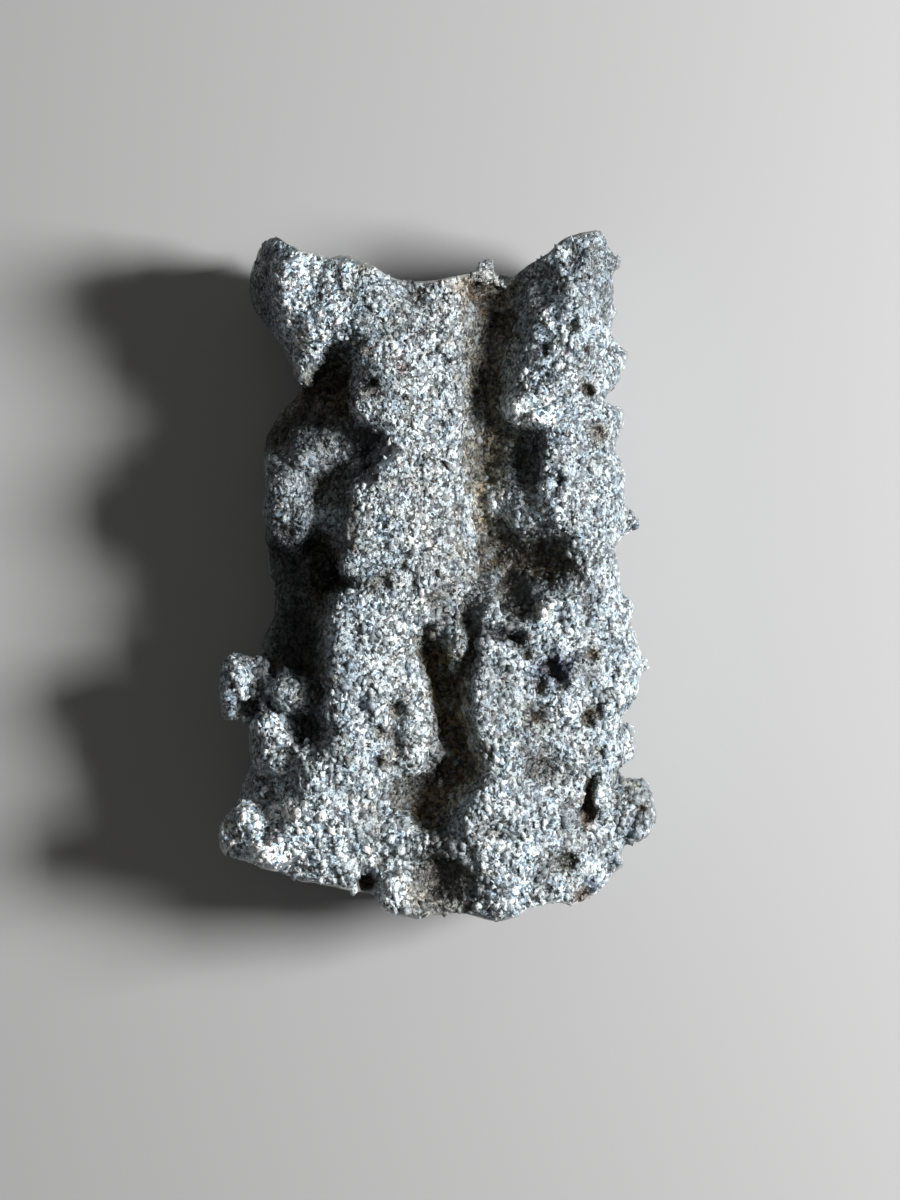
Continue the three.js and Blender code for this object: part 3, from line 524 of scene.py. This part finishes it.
def pit_depths(points, normals):
    """How deep each vertex sinks, for the pits and furrows of the front."""
    depth = np.zeros(len(points))
    faces_up = np.clip(normals[:, 2] * 2 + 0.2, 0, 1) * (points[:, 2] > MID_HEIGHT - 1)
    uneven = 1 + 0.8 * field(points, *PIT_EDGE_NOISE)
    for x, y, half_wide, half_long, deep in PITS:
        away = uneven * np.hypot((points[:, 0] - x) / half_wide, (points[:, 1] - y) / half_long)
        depth = np.maximum(depth, deep * np.clip(1.25 - away**2 * 0.8, 0, 1))
    for line, half_wide, deep in FURROWS:
        away = distance_to_line(points[:, :2], line) / half_wide
        depth += deep * np.exp(-(away**2))
    return depth * faces_up


def vesicle_depths(points, normals):
    """How deep each vertex sinks, for small round pits scattered over the sides and the back."""
    depth = np.zeros(len(points))
    hidden = np.flatnonzero(normals[:, 2] < 0.3)
    for i in rng.choice(hidden, VESICLES, replace=False):
        radius = rng.uniform(*VESICLE_RADII)
        away = np.linalg.norm(points - points[i], axis=1) / radius
        depth = np.maximum(depth, 0.8 * radius * np.clip(1.25 - away**2 * 0.9, 0, 1))
    return depth


def edge_steps(points, normals):
    """How far each vertex of the sides moves outwards, for the small forms of the outline."""
    sideways = np.clip(np.hypot(normals[:, 0], normals[:, 1]) * 2 - 0.6, 0, 1)
    step = np.zeros(len(points))
    for x, y, half_wide, out in EDGE_FORMS:
        away = ((points[:, 0] - x) ** 2 + (points[:, 1] - y) ** 2) / half_wide**2
        away += ((points[:, 2] - MID_HEIGHT) / EDGE_FORM_HALF_HEIGHT) ** 4
        step += out * np.exp(-away)
    return step * sideways


def relief(points, layers):
    """The sum of several noises, each with its height, width and pattern number."""
    return sum(height * field(points, width, pattern) for height, width, pattern in layers)


def sculpted(points, tris):
    """The surface with its lumps, grit, pits, furrows and nubs."""
    points = blended(points, tris)
    normals = corner_normals(points, tris)
    lumps = relief(points, LUMPS)
    grit = relief(points, GRIT) * (1 - 0.85 * near_outline(points, OUTLINE_REACH))
    sunk = pit_depths(points, normals) + vesicle_depths(points, normals) + GRAIN_ROOM
    points = points + normals * (lumps + grit - sunk)[:, None]
    points = points + normals * np.array([1, 1, 0]) * edge_steps(points, normals)[:, None]
    calm = np.clip(near_outline(points, CALM_REACH) * 1.4, 0, 1)
    return points + (smoothed(points, tris, CALM_ROUNDS) - points) * calm[:, None]


def kept_in_box(points):
    """The surface held above the floor, and its highest parts pressed down to stay near the CAD box."""
    points[:, 2] = np.maximum(points[:, 2], FLOOR_GAP)
    shoulder = cad_high[2] / MM - SHOULDER_DROP
    height = points[:, 2]
    points[:, 2] = np.where(height > shoulder, shoulder + SHOULDER_SHARE * (height - shoulder), height)
    return points


# ---- what the surface is like from place to place ----
def broken_ends(points, normals):
    """1 on the broken ends, 0 elsewhere."""
    return np.clip((np.abs(normals[:, 1]) - 0.6) / 0.2, 0, 1) * (np.abs(points[:, 1]) > END_ZONE)


def lines_the_lumen(points, normals):
    """True for the vertices that line the open tube."""
    line = np.array(LUMEN_LINE)
    axis = np.stack([np.interp(points[:, 1], line[:, 1], line[:, k]) for k in (0, 2)], 1)
    inward = axis - points[:, [0, 2]]
    off_axis = np.linalg.norm(inward, axis=1)
    facing = (inward * normals[:, [0, 2]]).sum(1) / np.maximum(off_axis, 1e-6)
    return (off_axis < LUMEN_REACH) & (facing > 0.25)


def surveyed(points, tris):
    """The finished surface, its normals, and from 0 to 1 how much each vertex is of one kind or another."""
    normals = corner_normals(points, tris)
    cavity = ((smoothed(points, tris, CAVITY_ROUNDS) - points) * normals).sum(1)
    edge = near_outline(points, OUTLINE_REACH)
    return SimpleNamespace(
        points=points,
        tris=tris,
        normals=normals,
        edge=edge,
        hollow=np.clip((cavity - 0.02) / 0.40, 0, 1),
        end=broken_ends(points, normals),
        lumen=lines_the_lumen(points, normals),
        bare=patches_at(points[:, :2], BARE_GLASS) * front_share(points, 0, 1),
        rim=np.clip((edge - 0.5) / 0.3, 0, 1) * np.clip((normals[:, 2] - 0.05) / 0.2, 0, 1),
    )


# ---- materials ----
def new_material(name, roughness):
    """A material with its nodes, its links and its shader."""
    material = bpy.data.materials.new(name)
    material.use_nodes = True
    shader = material.node_tree.nodes["Principled BSDF"]
    shader.inputs["Roughness"].default_value = roughness
    return material, material.node_tree.nodes, material.node_tree.links, shader


def tint_node(nodes):
    """The colour stored on the vertices."""
    tint = nodes.new("ShaderNodeAttribute")
    tint.attribute_name = "tint"
    return tint.outputs["Color"]


def noise_texture(nodes, links, place, scale, detail):
    """A noise laid out by place."""
    texture = nodes.new("ShaderNodeTexNoise")
    texture.inputs["Scale"].default_value = scale
    texture.inputs["Detail"].default_value = detail
    links.new(place, texture.inputs["Vector"])
    return texture


def noise_bump(nodes, links, shader, scale, strength, distance):
    """Fine grit in the shading. Gives back the place that the patterns are laid out by."""
    place = nodes.new("ShaderNodeTexCoord").outputs["Object"]
    grit = noise_texture(nodes, links, place, scale, detail=3.0)
    bump = nodes.new("ShaderNodeBump")
    bump.inputs["Strength"].default_value = strength
    bump.inputs["Distance"].default_value = distance
    links.new(grit.outputs["Fac"], bump.inputs["Height"])
    links.new(bump.outputs["Normal"], shader.inputs["Normal"])
    return place


def multiplied(nodes, links, shader, *patterns):
    """The shader's colour: the vertex tint times the patterns."""
    colour = tint_node(nodes)
    for pattern in patterns:
        mix = nodes.new("ShaderNodeMix")
        mix.data_type = "RGBA"
        mix.blend_type = "MULTIPLY"
        mix.inputs["Factor"].default_value = 1.0
        links.new(colour, mix.inputs["A"])
        links.new(pattern, mix.inputs["B"])
        colour = mix.outputs["Result"]
    links.new(colour, shader.inputs["Base Color"])


def ramped(nodes, links, value, stops):
    """A grey for each value, through stops of position and grey."""
    shade = nodes.new("ShaderNodeValToRGB")
    ramp = shade.color_ramp
    while len(ramp.elements) < len(stops):
        ramp.elements.new(0.5)
    for element, (position, grey) in zip(ramp.elements, stops):
        element.position = position
        element.color = (grey, grey, grey, 1)
    links.new(value, shade.inputs["Fac"])
    return shade.outputs["Color"]


def sand_cells(nodes, links, place):
    """Sand as a pattern: uneven cells about 0.2 mm wide. Gives each cell's own random grey, and how near to a
    cell's edge a point is."""
    warp = noise_texture(nodes, links, place, CELL_WARP_SCALE, detail=2.0)
    bent = nodes.new("ShaderNodeVectorMath")
    bent.operation = "MULTIPLY_ADD"
    bent.inputs[1].default_value = (CELL_WARP, CELL_WARP, CELL_WARP)
    links.new(warp.outputs["Color"], bent.inputs[0])
    links.new(place, bent.inputs[2])
    outputs = []
    for feature, output in (("F1", "Color"), ("DISTANCE_TO_EDGE", "Distance")):
        cells = nodes.new("ShaderNodeTexVoronoi")
        cells.feature = feature
        cells.inputs["Scale"].default_value = CELL_SCALE
        links.new(bent.outputs["Vector"], cells.inputs["Vector"])
        outputs.append(cells.outputs[output])
    split = nodes.new("ShaderNodeSeparateColor")
    links.new(outputs[0], split.inputs["Color"])
    return split.outputs["Red"], outputs[1]


def quartz_material():
    """Frosted quartz, cloudy inside and cut by the same cells as the glass around it."""
    material, nodes, links, shader = new_material("frosted_quartz", roughness=0.34)
    place = noise_bump(nodes, links, shader, scale=9000, strength=0.8, distance=0.00008)
    cloud = noise_texture(nodes, links, place, 5600, detail=3.0).outputs["Fac"]
    clouds = ramped(nodes, links, cloud, [(0.30, 0.30), (0.45, 0.85), (0.60, 1.15), (0.75, 1.3)])
    grey, edge = sand_cells(nodes, links, place)
    cells = ramped(nodes, links, grey, [(0.0, 0.32), (0.35, 0.85), (1.0, 1.35)])
    # painted glints: the cells' edges are brightened
    seams = ramped(nodes, links, edge, [(0.0, 1.4), (0.05, 1.2), (0.11, 0.96)])
    multiplied(nodes, links, shader, clouds, cells, seams)
    return material


def crust_material():
    """Glass that shows the sand sunk in it, with bright seams between some of the grains: froth, and painted
    glints of light on the glassy relief.
    """
    material, nodes, links, shader = new_material("sandy_glass", roughness=0.3)
    place = noise_bump(nodes, links, shader, scale=5200, strength=0.9, distance=0.00014)
    grey, edge = sand_cells(nodes, links, place)
    cells = ramped(nodes, links, grey, [(0.0, 0.12), (0.30, 0.35), (0.55, 0.9), (0.78, 1.7), (1.0, 2.5)])
    # painted glints: the seams at the cells' edges are brightened
    seams = ramped(nodes, links, edge, [(0.0, 2.2), (0.05, 1.6), (0.11, 0.95)])
    multiplied(nodes, links, shader, cells, seams)
    return material


def smooth_glass_material():
    """Bare glass in its vertex tint, faintly wavy."""
    material, nodes, links, shader = new_material("bare_glass", roughness=0.16)
    links.new(tint_node(nodes), shader.inputs["Base Color"])
    noise_bump(nodes, links, shader, scale=1800, strength=0.35, distance=0.0002)
    return material


def plain_material(name, value, roughness):
    """One even grey."""
    material, _, _, shader = new_material(name, roughness)
    shader.inputs["Base Color"].default_value = (value, value, value, 1)
    return material


# ---- colours at the vertices ----
def painted_shade_and_stain_at(points, hollow):
    """The crust's painted shade, darker the hollower the surface and in the zones, and paler where the zones
    paint light, as a factor on its colour; and how brown it is.
    """
    # painted shade: the colour darkens in the hollows, where shade falls; the brown is stain that gathers
    # there
    painted_light_factor = 1 - 0.62 * hollow
    brown = 0.35 * hollow
    front = front_share(points, -2, 2)
    for line, reach, lost, warmth in SHADE_LIGHT_AND_STAIN_ZONES:
        zone = np.exp(-((distance_to_line(points[:, :2], line) / reach) ** 4)) * front
        painted_light_factor = painted_light_factor * (1 - lost * zone)
        brown = np.maximum(brown, warmth * zone * (0.35 + 0.65 * hollow))
    return painted_light_factor, brown


def marks_at(points):
    """For each coloured mark, how strongly it covers each point, and its colour."""
    front = front_share(points, -1, 2)
    for x, y, reach, mark, strength in MARKS:
        away = ((points[:, 0] - x) ** 2 + (points[:, 1] - y) ** 2) / reach**2
        yield strength * front * np.exp(-(away**1.5)), mark


def coloured(grey, painted_light_factor, brown, points):
    """The crust's colour: bluish, more so in its darker grains, then browned, given its painted shade and
    painted light, and marked.
    """
    hue = rng.normal(0, 0.7, len(points)) + 2.4 * field(points, *HUE_NOISE)
    uneven = (0.004 + 0.17 * (1 - grey / 1.1) ** 4) * hue
    brown = np.clip(brown, 0, 1.3) * np.clip(1 - 1.4 * grey, 0, 1)
    flank = 0.13 * np.abs(points[:, 0] + 0.5)  # the crust is bluer towards both sides
    coolness = np.clip(0.30 + flank + 0.35 * field(points, *COOL_NOISE), 0.1, 1.0)
    deep = coolness * (1 - grey / 1.1)
    cool = np.stack([0.945 - 0.10 * deep, np.full(len(points), 1.022), 1.04 + 0.10 * deep], 1)
    colour = grey[:, None] * (cool * (1 - brown[:, None]) + WARM * brown[:, None])
    colour = colour * np.clip(1 + uneven[:, None] * np.array([1.0, 0.0, -1.0]), 0.3, 1.8)
    for amount, mark in marks_at(points):
        colour = colour * (1 - amount[:, None] * (1 - np.array(mark)))
    # painted shade and painted light of the hollows and zones
    return np.clip(colour * painted_light_factor[:, None], 0, 0.97)


def mixed(colour, other, amount):
    """One colour turned to another by an amount at each vertex."""
    return colour * (1 - amount[:, None]) + amount[:, None] * other


def glass_colours(crust):
    """The glass at each vertex: sandy glass, then dark bare patches, the pale rim and the tube's lining."""
    # painted shade and painted light of the hollows and zones, with brown stain
    painted_light_factor, brown = painted_shade_and_stain_at(crust.points, crust.hollow)
    patchy = field(crust.points, *PATCH_NOISE)
    grey = np.clip(0.27 + 0.08 * field(crust.points, *MOTTLE_NOISE) + 0.06 * patchy, 0.05, 0.6)
    grey = grey * (1 - 0.3 * crust.end)
    colour = coloured(grey, painted_light_factor, brown, crust.points)
    colour = mixed(colour, DARK_GLASS * (1 + 0.8 * patchy[:, None]), 0.85 * crust.bare)
    at_foot = np.where(crust.points[:, 1] < -20, 1.6, 1.0)  # the rim is paler along the bottom edge
    colour = mixed(colour, RIM_GLASS * at_foot[:, None] * painted_light_factor[:, None], 0.8 * crust.rim)
    colour[crust.lumen] = LUMEN_GLASS * (1 + 0.3 * patchy[crust.lumen, None])
    return colour


# ---- pieces ----
def make_mesh(name, points, tris, colours, materials, which=None, normals=None):
    """A piece of the crust from its vertices in millimetres, riding on the body that it dresses.

    If there are several materials, which says what material each triangle takes."""
    mesh = bpy.data.meshes.new(name)
    mesh.vertices.add(len(points))
    mesh.vertices.foreach_set("co", (points * MM).astype(np.float32).ravel())
    mesh.loops.add(len(tris) * 3)
    mesh.loops.foreach_set("vertex_index", tris.astype(np.int32).ravel())
    mesh.polygons.add(len(tris))
    mesh.polygons.foreach_set("loop_start", np.arange(0, len(tris) * 3, 3, dtype=np.int32))
    mesh.update(calc_edges=True)
    mesh.polygons.foreach_set("use_smooth", [True] * len(tris))
    for material in materials:
        mesh.materials.append(material)
    if which is not None:
        mesh.polygons.foreach_set("material_index", which.astype(np.int32))
    layer = mesh.attributes.new("tint", "FLOAT_COLOR", "POINT")
    rgba = np.ones((len(points), 4), np.float32)
    rgba[:, :3] = colours
    layer.data.foreach_set("color", rgba.ravel())
    if normals is not None:
        mesh.normals_split_custom_set_from_vertices(normals.astype(np.float32))
    obj = bpy.data.objects.new(name, mesh)
    bpy.context.scene.collection.objects.link(obj)
    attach(obj, "root")
    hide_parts("fulgurite")


def band_numbers(y, all_y):
    """Which band along the tube each y falls in. The bands share all_y out evenly."""
    return np.digitize(y, np.quantile(all_y, np.arange(1, BANDS) / BANDS))


def build_glass(crust):
    """The body of glass, in bands along the tube."""
    points, tris = crust.points, crust.tris
    colour = glass_colours(crust)
    smooth = (crust.end > 0.5) | crust.lumen | (crust.bare > 0.55) | (crust.rim > 0.6)
    which = smooth[tris].sum(1) > 1
    materials = [crust_material(), smooth_glass_material()]
    band = band_numbers(points[tris].mean(1)[:, 1], points[:, 1])
    for k in range(BANDS):
        mine = band == k
        used, corners = np.unique(tris[mine], return_inverse=True)
        corners = corners.reshape(-1, 3)
        name = f"fused_glass_{k + 1}"
        make_mesh(name, points[used], corners, colour[used], materials, which[mine], crust.normals[used])


# ---- the welded sand grains ----
def ball_and_shard():
    """The two solids that the grains are made from: an icosahedron and a double pyramid with five sides."""
    ball = np.array(
        [
            [0, 0, 1], [0.894, 0, 0.447], [0.276, 0.851, 0.447], [-0.724, 0.526, 0.447],
            [-0.724, -0.526, 0.447], [0.276, -0.851, 0.447], [0.724, 0.526, -0.447], [-0.276, 0.851, -0.447],
            [-0.894, 0, -0.447], [-0.276, -0.851, -0.447], [0.724, -0.526, -0.447], [0, 0, -1],
        ]
    )
    shard = np.array(
        [
            [0, 0, 1], [1, 0, 0], [0.31, 0.95, 0], [-0.81, 0.59, 0], [-0.81, -0.59, 0], [0.31, -0.95, 0],
            [0, 0, -1],
        ]
    )
    ball_faces, shard_faces = [], []
    for i in range(5):
        j = (i + 1) % 5
        ball_faces += [[0, 1 + i, 1 + j], [1 + i, 6 + i, 1 + j], [1 + j, 6 + i, 6 + j], [11, 6 + j, 6 + i]]
        shard_faces += [[0, 1 + i, 1 + j], [6, 1 + j, 1 + i]]
    return (ball, np.array(ball_faces)), (shard, np.array(shard_faces))


def grain_shapes(corners):
    """Many uneven forms of one solid: corners pushed in and out, and the whole stretched."""
    forms = corners[None] * rng.uniform(0.52, 1.36, (GRAIN_SHAPES, len(corners), 1))
    return forms * rng.uniform(0.65, 1.35, (GRAIN_SHAPES, 1, 3))


def scattered(points, tris, weight, tries):
    """Random places on the surface, more of them where weight is high: points and vertex numbers."""
    a, b, c = points[tris[:, 0]], points[tris[:, 1]], points[tris[:, 2]]
    area = np.linalg.norm(np.cross(b - a, c - a), axis=1) * weight[tris].mean(1)
    pick = rng.choice(len(tris), tries, p=area / area.sum())
    u, v = rng.random(tries), rng.random(tries)
    over = u + v > 1
    u[over], v[over] = 1 - u[over], 1 - v[over]
    return a[pick] + (b - a)[pick] * u[:, None] + (c - a)[pick] * v[:, None], tris[pick, 0]


def spaced(points, radii):
    """Which points to keep, the largest first, so that grains touch or just overlap."""
    kept, grid = [], {}
    places, sizes = points.tolist(), radii.tolist()
    around = [(i, j, k) for i in (-1, 0, 1) for j in (-1, 0, 1) for k in (-1, 0, 1)]
    for i in np.argsort(-radii).tolist():
        x, y, z = places[i]
        r = sizes[i]
        gx, gy, gz = int(x // SPACING_CELL), int(y // SPACING_CELL), int(z // SPACING_CELL)
        clear = True
        for kx, ky, kz in around:
            for qx, qy, qz, q in grid.get((gx + kx, gy + ky, gz + kz), ()):
                near = CLOSENESS * (r + q)
                if (qx - x) ** 2 + (qy - y) ** 2 + (qz - z) ** 2 < near * near:
                    clear = False
                    break
            if not clear:
                break
        if clear:
            grid.setdefault((gx, gy, gz), []).append((x, y, z, r))
            kept.append(i)
    return np.array(kept)


def random_turns(n):
    """Rotation matrices, evenly spread."""
    turn = rng.normal(size=(n, 4))
    turn /= np.linalg.norm(turn, axis=1, keepdims=True)
    w, x, y, z = turn.T
    rotation = np.empty((n, 3, 3))
    rotation[:, 0] = np.stack([1 - 2 * (y * y + z * z), 2 * (x * y - z * w), 2 * (x * z + y * w)], 1)
    rotation[:, 1] = np.stack([2 * (x * y + z * w), 1 - 2 * (x * x + z * z), 2 * (y * z - x * w)], 1)
    rotation[:, 2] = np.stack([2 * (x * z - y * w), 2 * (y * z + x * w), 1 - 2 * (x * x + y * y)], 1)
    return rotation


def grain_radii(points):
    """Random radii, coarser towards the bottom of the piece and small in the dark marks."""
    coarse = 1.0 + 0.18 * np.clip((1 - points[:, 1]) / 12, -1, 1)
    spread = np.exp(rng.normal(0, GRAIN_SPREAD, len(points)))
    radii = np.clip(GRAIN_RADIUS * spread * coarse, *GRAIN_RADII)
    for amount, mark in marks_at(points):
        if mark[2] < 0.5:
            radii = np.where(amount > 0.12, np.minimum(radii, MARK_GRAIN_RADIUS), radii)
    return radii


def highest_near(crust, x, y):
    """The number of the front's highest vertex near a place."""
    front = np.flatnonzero(crust.normals[:, 2] > 0.3)
    close = front[np.hypot(crust.points[front, 0] - x, crust.points[front, 1] - y) < 0.3]
    return close[np.argmax(crust.points[close, 2])]


def placed_grains(crust):
    """The grains that find room: middles, radii, which are single large ones, and the crust under them."""
    weight = (1.0 - 0.85 * crust.end) * (1 - 0.8 * crust.bare) * (1 - 0.85 * crust.rim) * ~crust.lumen
    points, near = scattered(crust.points, crust.tris, weight, GRAIN_TRIES)
    radii = grain_radii(points)
    large = np.array([highest_near(crust, x, y) for x, y, _ in LARGE_GRAINS])
    points = np.vstack([crust.points[large], points])
    near = np.concatenate([large, near])
    radii = np.concatenate([[half for _, _, half in LARGE_GRAINS], radii])
    single = np.arange(len(points)) < len(large)
    kept = spaced(points, radii + SINGLE_ROOM * single)
    near = near[kept]
    return SimpleNamespace(
        points=points[kept],
        radii=radii[kept],
        single=single[kept],
        outward=crust.normals[near],
        edge=crust.edge[near],
        hollow=crust.hollow[near],
    )


def grain_tones(grains):
    """A colour for each grain: dark and bright ones mixed, in clumps and wider patches, then given the
    painted shade, painted light and stain of the hollows and zones.
    """
    patches = 0.22 * field(grains.points, *GRAIN_PATCH_NOISE)
    clumps = 0.20 * field(grains.points, *GRAIN_CLUMP_NOISE)
    share = np.clip(rng.random(len(grains.points)) * 0.86 + 0.07 + patches + clumps, 0, 1)
    bright = np.interp(share, TONE_SHARES, TONES)
    bright = np.where(grains.radii > 0.2, np.maximum(bright, 0.3), bright)
    bright[grains.single] = 0.97
    painted_light_factor, brown = painted_shade_and_stain_at(grains.points, grains.hollow)
    return coloured(bright, painted_light_factor, brown, grains.points)


def grain_corners(grains, index, turns, solid):
    """The corners of the grains with these numbers, each grain sunk in the glass and cut off above it."""
    forms = grain_shapes(solid)
    corners = np.einsum("nij,nkj->nki", turns[index], forms[rng.integers(0, GRAIN_SHAPES, len(index))])
    corners = corners * grains.radii[index, None, None] * 1.15 * GRAIN_STRETCH
    outward = grains.outward[index]
    sunk = rng.uniform(*GRAIN_SINK, len(index)) * grains.radii[index]
    corners -= sunk[:, None, None] * outward[:, None, :]
    proud = 0.03 + 0.6 * np.clip(1.1 - 1.5 * grains.edge[index], 0, 1)  # less along the outline
    above = np.maximum(np.einsum("nij,nj->ni", corners, outward) - proud[:, None], 0)
    corners += grains.points[index][:, None, :] - above[..., None] * outward[:, None, :]
    corners[..., 2] = np.maximum(corners[..., 2], 0.0)
    return corners


def build_grains(grains):
    """The grains joined into one mesh for each band along the tube."""
    tint = grain_tones(grains)
    turns = random_turns(len(grains.points))
    ball, shard = ball_and_shard()
    is_ball = grains.radii > BALL_FROM
    chunks = []
    for (solid, faces), mine in ((ball, is_ball), (shard, ~is_ball)):
        index = np.flatnonzero(mine)
        chunks.append((index, grain_corners(grains, index, turns, solid), faces))
    quartz = quartz_material()
    band = band_numbers(grains.points[:, 1], grains.points[:, 1])
    for k in range(BANDS):
        all_corners, all_faces, all_tints, start = [], [], [], 0
        for index, corners, faces in chunks:
            mine = band[index] == k
            count, size = int(mine.sum()), corners.shape[1]
            firsts = start + size * np.arange(count)
            all_corners.append(corners[mine].reshape(-1, 3))
            all_faces.append((faces[None] + firsts[:, None, None]).reshape(-1, 3))
            speckle = rng.uniform(0.88, 1.06, (count * size, 1))
            all_tints.append(np.repeat(tint[index[mine]], size, 0) * speckle)
            start += count * size
        name = f"sand_grains_{k + 1}"
        make_mesh(name, np.vstack(all_corners), np.vstack(all_faces), np.vstack(all_tints), [quartz])


# ---- floor, light and camera ----
def add_floor():
    """A plain pale floor, two metres wide."""
    mesh = bpy.data.meshes.new("floor")
    mesh.from_pydata([(-1, -1, 0), (1, -1, 0), (1, 1, 0), (-1, 1, 0)], [], [(0, 1, 2, 3)])
    mesh.materials.append(plain_material("pale_floor", 0.5, roughness=0.9))
    floor = bpy.data.objects.new("floor", mesh)
    bpy.context.scene.collection.objects.link(floor)


def add_area_light(name, place, size, power):
    """A square light aimed at the middle of the piece."""
    light = bpy.data.lights.new(name, "AREA")
    light.shape = "SQUARE"
    light.size = size
    light.energy = power
    obj = bpy.data.objects.new(name, light)
    obj.location = place
    obj.rotation_euler = (Vector(LIGHT_TARGET) - Vector(place)).to_track_quat("-Z", "Y").to_euler()
    bpy.context.scene.collection.objects.link(obj)


def set_world():
    """Dim, slightly warm light from all around."""
    world = bpy.data.worlds.new("studio")
    world.use_nodes = True
    world.node_tree.nodes["Background"].inputs["Color"].default_value = (1.0, 0.975, 0.93, 1)
    world.node_tree.nodes["Background"].inputs["Strength"].default_value = 0.06
    bpy.context.scene.world = world
    bpy.context.scene.view_settings.view_transform = "Standard"


def add_camera():
    """Straight above the piece, as in the photo."""
    camera = bpy.data.cameras.new("camera")
    camera.lens = 90
    camera.sensor_width = 36
    camera.clip_start = 0.01
    eye = bpy.data.objects.new("camera", camera)
    eye.location = (0.0009, -0.0016, 0.2166)
    bpy.context.scene.collection.objects.link(eye)
    bpy.context.scene.camera = eye


# ---- the scene ----
first_points, triangles = cad_surface(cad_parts["fulgurite"])
surface = surveyed(kept_in_box(sculpted(first_points, triangles)), triangles)
build_glass(surface)
build_grains(placed_grains(surface))
add_floor()
add_area_light("key", place=(0.235, 0.02, 0.170), size=0.08, power=1.45)
add_area_light("fill", place=(-0.04, 0.05, 0.30), size=0.30, power=0.03)
set_world()
add_camera()
